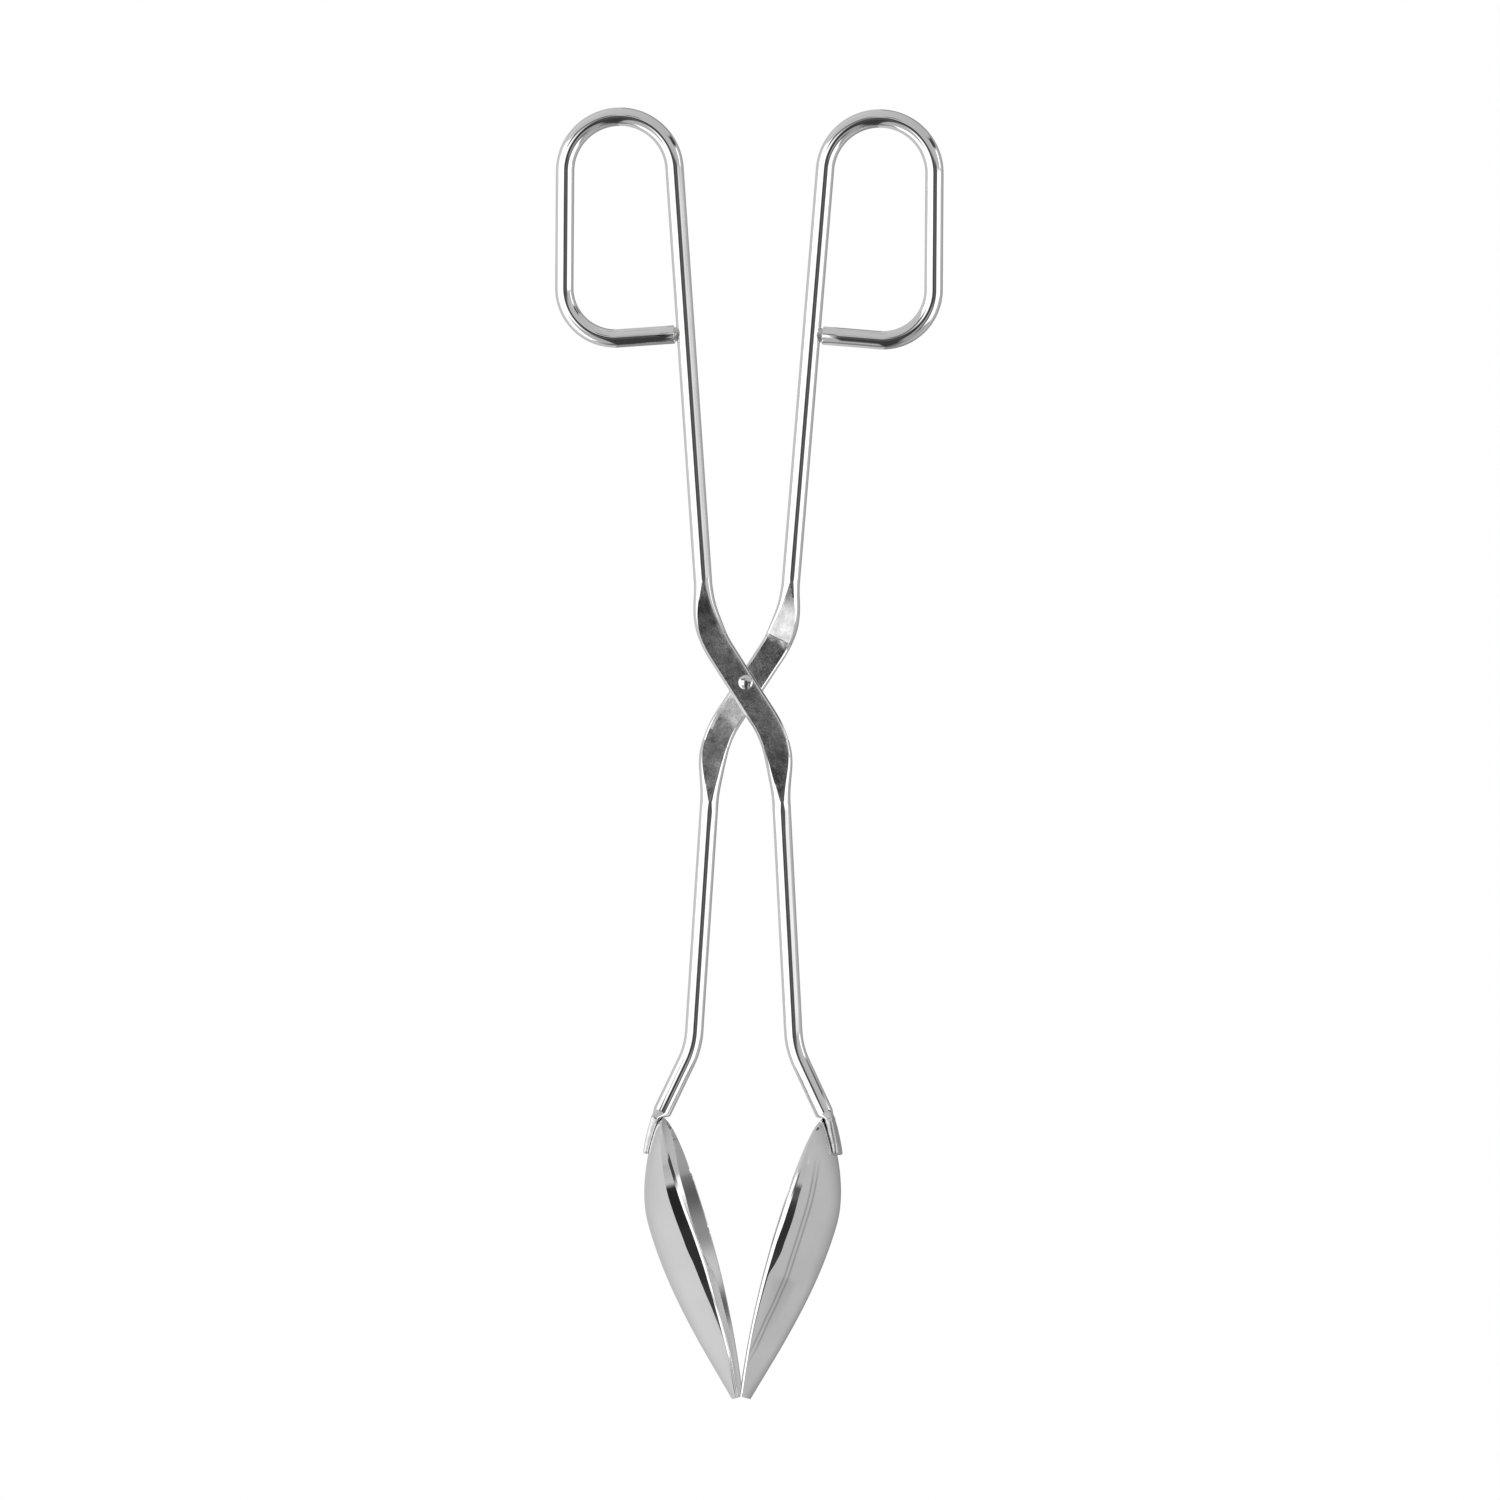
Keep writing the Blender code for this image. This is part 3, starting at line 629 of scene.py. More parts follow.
def painted_reflection_marks(distance):
    """A ring's marks: millimetres from the painted reflection lines on the near wall's outside."""
    outside, inside, edge = spoon_walls(distance)[0]
    far = [INSIDE_MARK] * len(inside) + [EDGE_MARK] * (len(edge) - 1)
    far += [FAR_WALL_MARK] * len(outside)
    outside, inside, edge = spoon_walls(distance)[1]
    line = on_curve(PAINTED_REFLECTION_LINE, distance / SPOON_LENGTH) * outside[-1].y
    near = [(point.y - line) / MM for point in outside[-2::-1]]
    near += [EDGE_MARK] * (len(edge) - 1) + [INSIDE_MARK] * (len(inside) - 1)
    return far + near


def back_drop(distance, across):
    """How far the spoon's back has fallen from the keel at that place across it."""
    far, near = (outside for outside, _, _ in spoon_walls(distance))
    side = far if across >= 0.0 else near
    reach = abs(across)
    for a, b in zip(side, side[1:]):
        if abs(b.x) <= reach <= abs(a.x):
            share = (reach - abs(a.x)) / (abs(b.x) - abs(a.x))
            return side[-1].y - mix(a.y, b.y, share)
    return side[-1].y - side[0].y if reach > abs(side[0].x) else 0.0


def back_point(distance, across, fit):
    """Point on the spoon's back before the roll; with fit 0 it is on the keel."""
    _, outward = spoon_axes()
    drop = fit * back_drop(distance, across)
    return keel_point(distance) - outward * drop + Vector((0.0, across, 0.0))


def above_back(distance, across, fit, height):
    """Point at a height above the spoon's back, square to it along its length."""
    foot = back_point(distance, across, fit)
    tangent = (back_point(distance + TANGENT_STEP, across, fit) - foot).normalized()
    return foot + left_of(tangent) * height


# --------------------------------------------------------------------- meshes


def loft(name, rings, lengths, finish=None, sharp=40.0):
    """Closed mesh through the rings, with a UV map that runs along and around.

    finish(row, column) picks the face's material slot.
    """
    bm = bmesh.new()
    run = bm.loops.layers.uv.new("run")
    count = len(rings[0])
    loops = [[bm.verts.new(point) for point in ring] for ring in rings]
    for r in range(len(loops) - 1):
        for i in range(count):
            j = (i + 1) % count
            face = bm.faces.new((loops[r][i], loops[r][j], loops[r + 1][j], loops[r + 1][i]))
            face.material_index = finish(r, i) if finish else 0
            corners = ((r, i), (r, i + 1), (r + 1, i + 1), (r + 1, i))
            for corner, (row, column) in zip(face.loops, corners):
                corner[run].uv = (lengths[row] / MM, column / count)
    bm.faces.new(loops[0])
    bm.faces.new(loops[-1])
    bmesh.ops.recalc_face_normals(bm, faces=bm.faces)
    mesh = bpy.data.meshes.new(name)
    bm.to_mesh(mesh)
    bm.free()
    mesh.shade_smooth()
    mesh.set_sharp_from_angle(angle=math.radians(sharp))
    return mesh


def turned(name, profile, sides):
    """Closed solid turned about Y from (radius, y) points, from axis to axis."""
    rings = []
    for radius, y in profile:
        ring = []
        for i in range(sides):
            angle = 2.0 * math.pi * i / sides
            ring.append(Vector((radius * math.cos(angle), y, radius * math.sin(angle))))
        rings.append(ring)
    lengths = [0.0]
    for (r0, y0), (r1, y1) in zip(profile, profile[1:]):
        lengths.append(lengths[-1] + math.hypot(r1 - r0, y1 - y0))
    return loft(name, rings, lengths)


def arm_mesh():
    """The whole wire, from the loop's free end to the paddle's end."""
    rings = []
    lengths = []

    def add(ring, length):
        rings.append(ring)
        lengths.append(length)

    upper = handle_path()
    end = upper[-1]
    for i in range(LOOP_END_RINGS):
        angle = 0.5 * math.pi * i / (LOOP_END_RINGS - 1)
        back = LOOP_END_CHAMFER * math.cos(angle)
        radius = WIRE_RADIUS - LOOP_END_CHAMFER * (1.0 - math.sin(angle))
        centre = end.centre + end.tangent * back
        add(ring_at(centre, -end.tangent, round_section(radius)), -end.length)
    for station in reversed(upper[1:-1]):
        section = wire_section(station.length, recess_lean(-station.length), UPPER_RISE_LEAN)
        add(ring_at(station.centre, -station.tangent, section), -station.length)
    lower = toe_path()
    for station in lower:
        section = wire_section(station.length, recess_lean(station.length), LOWER_RISE_LEAN)
        add(ring_at(station.centre, station.tangent, section), station.length)
    for ring, length in paddle_rings(lower[-1]):
        add(ring, length)

    facets = facet_columns()
    shoulder_end = lengths[-1] - (PADDLE_STATIONS[1] - PADDLE_STATIONS[0]) - PADDLE_END_ROUND

    def finish(row, column):
        if lengths[row] > shoulder_end - PADDLE_SHOULDER:
            return PADDLE_FINISH
        middle = 0.5 * (lengths[row] + lengths[row + 1])
        on_facet = abs(middle) < TAPER_END and column in facets
        return FLAT_FINISH if on_facet else WIRE_FINISH

    return loft("arm", rings, lengths, finish, sharp=22.0)


def spot_mark(distance, across_width):
    """How deep the electrodes' marks are at a point of the paddle's back."""
    deepest = 0.0
    for station in SPOT_WELD_STATIONS:
        away = math.hypot(distance - station, across_width) / SPOT_MARK_RADIUS
        deepest = max(deepest, SPOT_MARK_DEPTH * (1.0 - smoothstep((away - 0.55) / 0.5)))
    return deepest


def paddle_rings(toe):
    """The shoulder below the round wire, then the paddle down the spoon's back."""
    roll = spoon_roll()
    first = PADDLE_STATIONS[0]
    thickness = PADDLE_THICKNESS[0]
    top_tangent = keel_tangent(first)
    top = keel_point(first) + left_of(top_tangent) * (GAP + 0.5 * thickness)
    toe_section = round_section(WIRE_RADIUS)
    top_section = paddle_section(thickness, PADDLE_HALF_WIDTH)
    result = []
    for i in range(1, PADDLE_NECK_RINGS):
        share = i / PADDLE_NECK_RINGS
        shape = smoothstep(share * 1.3)
        tangent = toe.tangent.lerp(top_tangent, share).normalized()
        outer_edge = toe.centre + left_of(toe.tangent) * WIRE_RADIUS
        top_edge = top + left_of(top_tangent) * 0.5 * thickness
        edge = outer_edge.lerp(top_edge, share)
        half = mix(WIRE_RADIUS, 0.5 * thickness, shape)
        centre = edge - left_of(tangent) * half
        section = blend_sections(toe_section, top_section, shape)
        turn = Matrix.Identity(4).lerp(roll, share)
        ring = [turn @ point for point in ring_at(centre, tangent, section)]
        result.append((ring, toe.length + (top - toe.centre).length * share))
    start = toe.length + (top - toe.centre).length
    for i in range(PADDLE_RINGS):
        share = i / (PADDLE_RINGS - 1)
        distance = mix(*PADDLE_STATIONS, share)
        thickness = mix(*PADDLE_THICKNESS, share)
        fit = smoothstep(3.0 * share)
        height = GAP + 0.5 * thickness
        ring = []
        for across, y in paddle_section(thickness, PADDLE_HALF_WIDTH):
            dent = spot_mark(distance, y) if across > 0.0 else 0.0
            ring.append(roll @ above_back(distance, y, fit, height + across - dent))
        result.append((ring, start + distance - first))
    for i in range(1, PADDLE_END_RINGS + 1):
        angle = 0.5 * math.pi * i / PADDLE_END_RINGS
        inset = PADDLE_END_ROUND * (1.0 - math.cos(angle))
        section = paddle_section(thickness - 1.7 * inset, PADDLE_HALF_WIDTH - inset)
        further = distance + PADDLE_END_ROUND * math.sin(angle)
        ring = [roll @ above_back(further, y, 1.0, height + across) for across, y in section]
        result.append((ring, start + further - first))
    return result


def spoon_mesh():
    """The hollow spoon, a sheet with a rounded lip; its rings are closest at the neck."""
    roll = spoon_roll()
    rings = []
    lengths = []
    marks = []
    for i in range(SPOON_RINGS):
        distance = SPOON_LENGTH * (i / (SPOON_RINGS - 1)) ** 1.5
        rings.append([roll @ point for point in spoon_ring(distance)])
        lengths.append(distance)
        marks += painted_reflection_marks(distance)
    mesh = loft("spoon", rings, lengths, sharp=12.0)
    mesh.attributes.new("mark", "FLOAT", "POINT").data.foreach_set("value", marks)
    return mesh


def dome(radius, height, face):
    """Profile of a domed cap, from its rim on the strap to near the axis."""
    side = math.copysign(1.0, face)
    edge = RIVET_DOME_EDGE
    profile = [(radius - 0.5 * edge, face), (radius, face + side * 0.5 * edge)]
    for i in range(RIVET_DOME_STEPS):
        angle = 0.5 * math.pi * i / RIVET_DOME_STEPS
        rise = edge + (height - edge) * math.sin(angle)
        profile.append((radius * math.cos(angle), face + side * rise))
    profile.append((0.02 * MM, face + side * height))
    return profile


def rivet_mesh():
    face = WIRE_RADIUS - STRAP_PRESS_DEPTH + RIVET_STANDOFF
    tail = dome(RIVET_TAIL_RADIUS, RIVET_TAIL_HEIGHT, -face)
    head = dome(RIVET_HEAD_RADIUS, RIVET_HEAD_HEIGHT, face)
    shank = [(RIVET_SHANK_RADIUS, -face), (RIVET_SHANK_RADIUS, face)]
    return turned("rivet", tail[::-1] + shank + head, RIVET_SIDES)


def loop_weld_mesh():
    """The weld's neck, along Y: slightly waisted and uneven."""
    rings = []
    lengths = []
    length = LOOP_WELD_LENGTH + 0.6 * WIRE_RADIUS
    for r in range(LOOP_WELD_RINGS + 1):
        share = r / LOOP_WELD_RINGS
        waist = math.sin(math.pi * min(share * length / LOOP_WELD_LENGTH, 1.0))
        waist = 1.0 - LOOP_WELD_WAIST * waist
        ring = []
        for i in range(LOOP_WELD_SIDES):
            angle = 2.0 * math.pi * i / LOOP_WELD_SIDES
            wave = noise.noise(Vector((2.0 * math.cos(angle), 2.0 * math.sin(angle), 3.0 * share)))
            radius = LOOP_WELD_RADIUS * (waist + LOOP_WELD_WAVE * wave)
            ring.append(Vector((radius * math.cos(angle), share * length, radius * math.sin(angle))))
        rings.append(ring)
        lengths.append(share * length)
    return loft("loop_weld", rings, lengths)


def loop_weld_matrix():
    """At the loop's free end, with local Y pointing at the handle."""
    end = handle_path()[-1]
    centre = end.centre + end.tangent * (LOOP_END_CHAMFER - 0.1 * MM)
    axes = (left_of(end.tangent), end.tangent, Vector((0.0, 1.0, 0.0)))
    turn = Matrix(axes).transposed().to_4x4()
    return Matrix.Translation(centre) @ turn


# ------------------------------------------------------------------ materials


class Nodes:
    """Adds shader nodes; an input may be a number, a colour or a socket."""

    def __init__(self, tree):
        self.tree = tree

    def add(self, kind, inputs=None, **settings):
        node = self.tree.nodes.new(kind)
        for key, value in settings.items():
            setattr(node, key, value)
        for key, value in (inputs or {}).items():
            if isinstance(value, bpy.types.NodeSocket):
                self.tree.links.new(value, node.inputs[key])
            else:
                node.inputs[key].default_value = value
        return node

    def math(self, operation, a, b=0.0):
        return self.add("ShaderNodeMath", {0: a, 1: b}, operation=operation).outputs[0]

    def scaled(self, vector, scale):
        node = self.add("ShaderNodeVectorMath", {0: vector, 1: scale}, operation="MULTIPLY")
        return node.outputs[0]

    def noise(self, vector, scale, detail=3.0, roughness=0.5):
        inputs = {"Vector": vector, "Scale": scale, "Detail": detail, "Roughness": roughness}
        return self.add("ShaderNodeTexNoise", inputs).outputs["Fac"]

    def remap(self, value, low, high, out_low, out_high):
        inputs = {0: value, 1: low, 2: high, 3: out_low, 4: out_high}
        return self.add("ShaderNodeMapRange", inputs).outputs[0]

    def spread(self, noise, out_low, out_high):
        """The usual reach of a noise's values, stretched to the two given."""
        return self.remap(noise, 0.3, 0.7, out_low, out_high)

    def grey(self, value):
        node = self.add("ShaderNodeCombineColor", {0: value, 1: value, 2: value})
        return node.outputs[0]

    def mix_value(self, share, a, b):
        node = self.add("ShaderNodeMix", {0: share, 2: a, 3: b}, data_type="FLOAT")
        return node.outputs[0]


def new_material(name):
    material = bpy.data.materials.new(name)
    material.use_nodes = True
    material.node_tree.nodes.clear()
    return material, Nodes(material.node_tree)


def finish_metal(kit, colour, roughness, height, strength):
    """Ends a metal material: its colour, roughness and bump, and the output."""
    bumps = {"Height": height, "Strength": strength, "Distance": BUMP_DISTANCE}
    bump = kit.add("ShaderNodeBump", bumps)
    inputs = {
        "Base Color": colour,
        "Metallic": 1.0,
        "Roughness": roughness,
        "Normal": bump.outputs[0],
    }
    shader = kit.add("ShaderNodeBsdfPrincipled", inputs)
    kit.add("ShaderNodeOutputMaterial", {"Surface": shader.outputs[0]})


def wire_steel():
    """Bright drawn wire with faint drawing lines along it."""
    material, kit = new_material("wire_steel")
    place = kit.add("ShaderNodeTexCoord").outputs["Object"]
    run = kit.add("ShaderNodeUVMap", uv_map="run").outputs[0]
    drawn_and_reflection_lines = kit.noise(kit.scaled(run, (0.05, 70.0, 1.0)), 1.0, 4.0, 0.6)
    smudge = kit.noise(place, 90.0, 4.0)
    colour = kit.spread(smudge, 0.88, 0.95)
    lines = kit.remap(drawn_and_reflection_lines, 0.4, 0.7, 0.0, 0.03)
    roughness = kit.math("ADD", kit.spread(smudge, 0.03, 0.07), lines)
    finish_metal(kit, kit.grey(colour), roughness, drawn_and_reflection_lines, 0.04)
    return material


def flat_steel():
    """Pressed facets: darker, grained, with a few long scratches."""
    material, kit = new_material("flat_steel")
    place = kit.add("ShaderNodeTexCoord").outputs["Object"]
    run = kit.add("ShaderNodeUVMap", uv_map="run").outputs[0]
    grain = kit.noise(place, 2600.0, 3.0, 0.7)
    blotch = kit.noise(place, 330.0, 4.0, 0.6)
    scratch = kit.noise(kit.scaled(run, (0.7, 60.0, 1.0)), 1.0, 2.0)
    scratch = kit.remap(scratch, 0.62, 0.7, 0.0, 1.0)
    speckle = kit.spread(grain, -0.1, 0.14)
    colour = kit.math("ADD", kit.spread(blotch, 0.40, 0.78), speckle)
    colour = kit.math("ADD", colour, kit.math("MULTIPLY", scratch, 0.16))
    dull = kit.spread(grain, 0.0, 0.08)
    roughness = kit.math("ADD", kit.spread(blotch, 0.14, 0.2), dull)
    height = kit.math("ADD", grain, kit.math("MULTIPLY", scratch, 0.5))
    finish_metal(kit, kit.grey(colour), roughness, height, 0.3)
    return material


def paddle_steel():
    """Forged paddle: light satin grey with a coarse, worn skin."""
    material, kit = new_material("paddle_steel")
    place = kit.add("ShaderNodeTexCoord").outputs["Object"]
    skin = kit.noise(place, 1300.0, 4.0, 0.65)
    cloud = kit.noise(place, 400.0, 3.0)
    colour = kit.spread(cloud, 0.66, 0.84)
    roughness = kit.spread(skin, 0.16, 0.34)
    finish_metal(kit, kit.grey(colour), roughness, skin, 0.4)
    return material


def spoon_steel():
    """Polished sheet, with fine polishing lines down its length and twin painted reflection lines,
    dark in its colour.
    """
    material, kit = new_material("spoon_steel")
    place = kit.add("ShaderNodeTexCoord").outputs["Object"]
    run = kit.add("ShaderNodeUVMap", uv_map="run").outputs[0]
    lines = kit.noise(kit.scaled(run, (0.10, 260.0, 1.0)), 1.0, 3.0, 0.6)
    cloud = kit.noise(place, 130.0, 4.0)
    speck = kit.noise(place, 5200.0, 2.0, 0.6)
    colour = kit.spread(cloud, 0.90, 0.95)
    mark = kit.add("ShaderNodeAttribute", attribute_name="mark").outputs["Fac"]
    inner = kit.math("LESS_THAN", mark, INSIDE_BELOW)
    # Painted reflection: two dark lines darken the spoon's colour where a softbox's edges would
    # reflect.
    away = kit.math("SUBTRACT", kit.math("ABSOLUTE", mark), PAINTED_REFLECTION_OFFSET)
    away = kit.math("DIVIDE", kit.math("ABSOLUTE", away), PAINTED_REFLECTION_WIDTH)
    drawn_and_reflection_lines = kit.math("EXPONENT", kit.math("MULTIPLY", kit.math("POWER", away, 2.0), -1.0))
    along = kit.add("ShaderNodeSeparateXYZ", {0: run}).outputs[0]
    drawn_and_reflection_lines = kit.math("MULTIPLY", drawn_and_reflection_lines, kit.remap(along, *PAINTED_REFLECTION_START, 0.0, 1.0))
    drawn_and_reflection_lines = kit.math("MULTIPLY", drawn_and_reflection_lines, kit.remap(along, *PAINTED_REFLECTION_END, 1.0, 0.0))
    shade = kit.math("SUBTRACT", 1.0, kit.math("MULTIPLY", drawn_and_reflection_lines, PAINTED_REFLECTION_DARKNESS))
    colour = kit.math("MULTIPLY", colour, shade)
    satin = kit.remap(lines, 0.4, 0.7, 0.0, 0.02)
    roughness = kit.math("ADD", kit.spread(cloud, 0.045, 0.065), satin)
    roughness = kit.math("ADD", roughness, kit.remap(inner, 0.0, 1.0, 0.0, 0.06))
    height = kit.math("ADD", kit.math("MULTIPLY", lines, 0.5), kit.math("MULTIPLY", speck, 0.5))
    finish_metal(kit, kit.grey(colour), roughness, height, 0.03)
    return material


def rivet_steel():
    """Bright rivet with light hammer marks on its domes."""
    material, kit = new_material("rivet_steel")
    place = kit.add("ShaderNodeTexCoord").outputs["Object"]
    marks = kit.noise(place, 1500.0, 2.0)
    smudge = kit.noise(place, 500.0, 3.0)
    colour = kit.spread(smudge, 0.86, 0.93)
    roughness = kit.spread(smudge, 0.10, 0.17)
    finish_metal(kit, kit.grey(colour), roughness, marks, 0.18)
    return material


def weld_steel():
    """Dull weld metal with a faint heat tint and an uneven skin."""
    material, kit = new_material("weld_steel")
    place = kit.add("ShaderNodeTexCoord").outputs["Object"]
    skin = kit.noise(place, 2400.0, 4.0, 0.65)
    tint = kit.noise(place, 900.0, 2.0)
    share = kit.remap(tint, 0.4, 0.7, 0.0, 1.0)
    tints = {0: share, 6: (0.74, 0.74, 0.74, 1.0), 7: (0.6, 0.58, 0.56, 1.0)}
    warm = kit.add("ShaderNodeMix", tints, data_type="RGBA").outputs[2]
    roughness = kit.spread(skin, 0.22, 0.4)
    finish_metal(kit, warm, roughness, skin, 0.5)
    return material


# ---------------------------------------------------------------------- build


def show(name, mesh, matrix, body, materials, node):
    """Adds a piece that rides on a body and stands for the named CAD node."""
    piece = bpy.data.objects.new(name, mesh)
    bpy.context.scene.collection.objects.link(piece)
    piece.matrix_world = matrix
    for material in materials:
        mesh.materials.append(material)
    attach(piece, body)
    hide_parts(node)


def build_half(side, turn, arm, spoon, weld):
    """One half on its body; its spot welds stay the CAD's, in weld metal."""
    body = side + "_half"
    half = Matrix.Translation(RIVET_MIDDLE) @ Matrix.Rotation(turn, 4, "Z")
    show(side + "_wire_arm", arm_mesh(), half, body, arm, side + "_arm")
    show(side + "_spoon_jaw", spoon_mesh(), half, body, [spoon], side + "_spoon")
    neck = side + "_loop_weld"
    matrix = half @ loop_weld_matrix()
    show(neck + "_neck", loop_weld_mesh(), matrix, body, [weld], neck)
    for place in ("upper", "lower"):
        lens = frame["nodes"][f"{side}_spot_weld_{place}"]
        lens.data.materials.clear()
        lens.data.materials.append(weld)


# What the steel sees, as (azimuth from, to, elevation from, to, softness, level), in
# degrees about the camera's direction: a positive azimuth is to the camera's right.
# Later rows cover earlier ones.
ROOM = (
    (84.0, 200.0, -75.0, 45.0, 6.0, 0.50),
    (112.0, 200.0, -75.0, 45.0, 20.0, 0.40),
    (132.0, 200.0, -75.0, 45.0, 20.0, 0.33),
    (152.0, 200.0, -75.0, 45.0, 20.0, 0.27),
    (-200.0, -88.0, -75.0, 75.0, 8.0, 0.66),
    (-200.0, -120.0, -75.0, 75.0, 40.0, 0.54),
    (-89.0, -17.0, -63.0, 26.0, 4.0, 1.35),
    (-46.0, -10.0, -64.0, -17.0, 5.0, 0.46),
    (-46.0, -10.0, 13.0, 27.0, 5.0, 0.16),
    (36.0, 92.0, 3.0, 28.0, 4.0, 0.52),
    (37.0, 80.0, -34.0, 3.0, 4.0, 1.35),
    (60.0, 86.0, -9.0, 3.0, 2.0, 1.35),
    (72.0, 91.0, 5.5, 24.0, 2.0, 1.35),
    (60.0, 116.0, 26.0, 37.0, 2.0, 0.06),
    (-5.0, 3.0, 13.0, 20.5, 2.0, 0.62),
    (-5.0, 3.0, 21.5, 28.0, 2.0, 0.05),
    (-12.0, 3.0, -12.0, 12.0, 4.0, 0.09),
    (3.0, 33.0, -12.0, 6.5, 4.0, 0.09),
    (-14.0, 17.0, -91.0, -11.0, 4.0, 0.045),
    (15.0, 36.0, -91.0, -11.0, 5.0, 0.13),
    (7.0, 22.0, -40.0, -7.0, 3.0, 0.35),
    (-6.0, 1.5, -6.0, 12.0, 2.0, 0.02),
    (-2.0, 5.2, -14.0, -1.0, 2.0, 0.03),
    (6.5, 11.0, -12.0, 1.0, 2.0, 0.17),
    (15.0, 34.0, -56.0, -38.0, 3.0, 0.36),
)


def studio_world():
    """White for the camera; for the steel, a light tent with soft boxes and gaps."""
    world = bpy.data.worlds.new("studio")
    bpy.context.scene.world = world
    world.use_nodes = True
    world.node_tree.nodes.clear()
    kit = Nodes(world.node_tree)
    direction = kit.add("ShaderNodeTexCoord").outputs["Generated"]
    turned_to_camera = kit.add(
        "ShaderNodeVectorRotate",
        {"Vector": direction, "Angle": math.radians(-CAMERA_AZIMUTH)},
        rotation_type="Z_AXIS",
    ).outputs[0]
    x, y, z = kit.add("ShaderNodeSeparateXYZ", {0: turned_to_camera}).outputs
    degrees = 180.0 / math.pi
    azimuth = kit.math("ARCTAN2", x, kit.math("MULTIPLY", y, -1.0))
    azimuth = kit.math("MULTIPLY", azimuth, degrees)
    elevation = kit.math("MULTIPLY", kit.math("ARCSINE", z), degrees)

    upper = kit.remap(elevation, 20.0, 70.0, 0.50, 0.54)
    lower = kit.remap(elevation, -85.0, -60.0, 0.12, 0.42)
    room = kit.mix_value(kit.remap(elevation, -5.0, 5.0, 0.0, 1.0), lower, upper)
    room = kit.math("SUBTRACT", room, kit.math("MULTIPLY", x, 0.07))
    for az0, az1, el0, el1, soft, level in ROOM:
        inside = kit.remap(azimuth, az0 - 0.5 * soft, az0 + 0.5 * soft, 0.0, 1.0)
        for value, edge, high in ((azimuth, az1, 0.0), (elevation, el0, 1.0), (elevation, el1, 0.0)):
            side = kit.remap(value, edge - 0.5 * soft, edge + 0.5 * soft, 1.0 - high, high)
            inside = kit.math("MULTIPLY", inside, side)
        room = kit.mix_value(inside, room, level)

    shown = kit.add("ShaderNodeLightPath").outputs["Is Camera Ray"]
    level = kit.mix_value(shown, room, 1.0)
    background = kit.add("ShaderNodeBackground", {"Color": kit.grey(level), "Strength": 1.0})
    kit.add("ShaderNodeOutputWorld", {"Surface": background.outputs[0]})


# Floor, in metres: how far below the tips, its size, and where it fades away.
FLOOR_DROP = 2.0 * MM
FLOOR_RADIUS = 0.6
FLOOR_FADE = (0.12, 0.55)


def floor_material():
    """Pale floor that fades into the white room away from the object."""
    material, kit = new_material("pale_floor")
    place = kit.add("ShaderNodeTexCoord").outputs["Object"]
    away = kit.add("ShaderNodeVectorMath", {0: place}, operation="LENGTH").outputs["Value"]
    fade = kit.remap(away, *FLOOR_FADE, 0.0, 1.0)
    dust = kit.noise(place, 160.0, 3.0)
    pale = kit.add(
        "ShaderNodeBsdfPrincipled",
        {"Base Color": kit.grey(kit.spread(dust, 0.86, 0.9)), "Roughness": 0.6},
    )
    clear = kit.add("ShaderNodeBsdfTransparent")
    blend = kit.add("ShaderNodeMixShader", {0: fade, 1: pale.outputs[0], 2: clear.outputs[0]})
    kit.add("ShaderNodeOutputMaterial", {"Surface": blend.outputs[0]})
    return material


def add_floor():
    """A disc just below the tips; the steel doesn't reflect it."""
    bm = bmesh.new()
    bmesh.ops.create_circle(bm, cap_ends=True, segments=96, radius=FLOOR_RADIUS)
    mesh = bpy.data.meshes.new("floor")
    bm.to_mesh(mesh)
    bm.free()
    mesh.materials.append(floor_material())
    floor = bpy.data.objects.new("floor", mesh)
    bpy.context.scene.collection.objects.link(floor)
    floor.location.z = CAD_BOX[0].z - FLOOR_DROP
    floor.visible_glossy = False


# Camera: far away on a long lens, so the view has no perspective.
CAMERA_AZIMUTH = 3.5
CAMERA_ROLL = 0.4
CAMERA_DISTANCE = 2.5
FRAME_WIDTH = 325.3 * MM
AIM_BELOW_RIVET = 14.65 * MM
AIM_RIGHT = 0.93 * MM


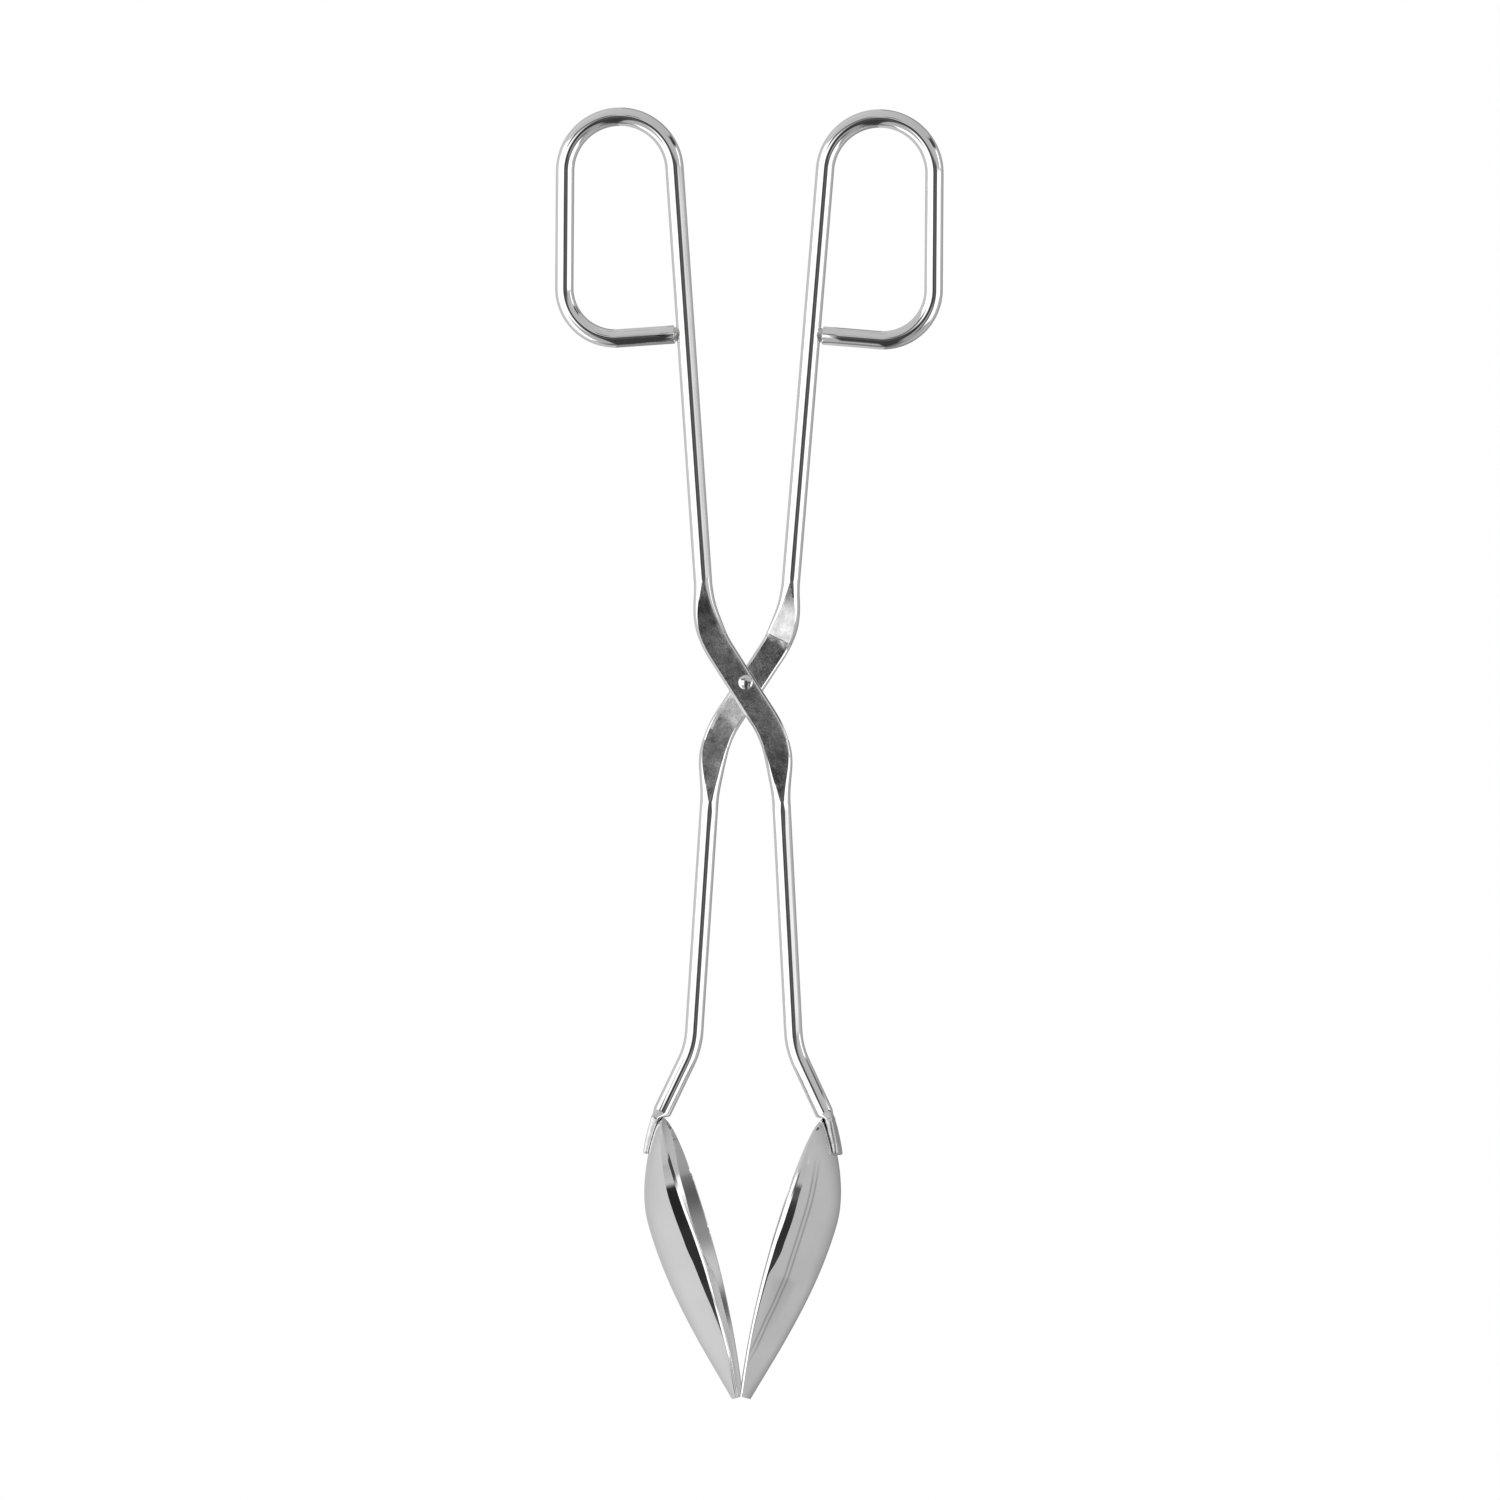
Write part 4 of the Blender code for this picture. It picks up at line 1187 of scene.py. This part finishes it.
def add_camera():
    data = bpy.data.cameras.new("camera")
    camera = bpy.data.objects.new("camera", data)
    bpy.context.scene.collection.objects.link(camera)
    data.type = "ORTHO"
    data.ortho_scale = FRAME_WIDTH
    azimuth = math.radians(CAMERA_AZIMUTH)
    aim = RIVET_MIDDLE + Vector((AIM_RIGHT, 0.0, -AIM_BELOW_RIVET))
    back = Vector((math.sin(azimuth), -math.cos(azimuth), 0.0))
    turn = Matrix.Rotation(azimuth, 4, "Z") @ Matrix.Rotation(0.5 * math.pi, 4, "X")
    roll = Matrix.Rotation(math.radians(CAMERA_ROLL), 4, "Z")
    camera.matrix_world = Matrix.Translation(aim + back * CAMERA_DISTANCE) @ turn @ roll
    bpy.context.scene.camera = camera


# Softboxes: watts, size and place in metres; the left one's X is negative.
SOFTBOX_POWER = 6.0
SOFTBOX_SIZE = (0.8, 1.0)
SOFTBOX_PLACE = (0.9, -0.6, 1.1)


def add_softboxes():
    """Two large soft lights that shape the floor's shadow; steel doesn't see them."""
    for name, side in (("left_softbox", -1.0), ("right_softbox", 1.0)):
        data = bpy.data.lights.new(name, "AREA")
        data.shape = "RECTANGLE"
        data.size, data.size_y = SOFTBOX_SIZE
        data.energy = SOFTBOX_POWER
        light = bpy.data.objects.new(name, data)
        bpy.context.scene.collection.objects.link(light)
        x, y, z = SOFTBOX_PLACE
        light.location = (side * x, y, z)
        aim = RIVET_MIDDLE - light.location
        light.rotation_mode = "QUATERNION"
        light.rotation_quaternion = aim.to_track_quat("-Z", "Y")
        light.visible_glossy = False


def build():
    arm = [wire_steel(), flat_steel(), paddle_steel()]
    spoon = spoon_steel()
    weld = weld_steel()
    build_half("front", 0.0, arm, spoon, weld)
    build_half("back", math.pi, arm, spoon, weld)
    matrix = Matrix.Translation(RIVET_MIDDLE)
    show("rivet", rivet_mesh(), matrix, "back_half", [rivet_steel()], "pivot_rivet")
    studio_world()
    add_floor()
    add_softboxes()
    add_camera()
    scene = bpy.context.scene
    scene.view_settings.view_transform = "Standard"
    scene.cycles.use_denoising = True
    bpy.context.view_layer.update()


build()
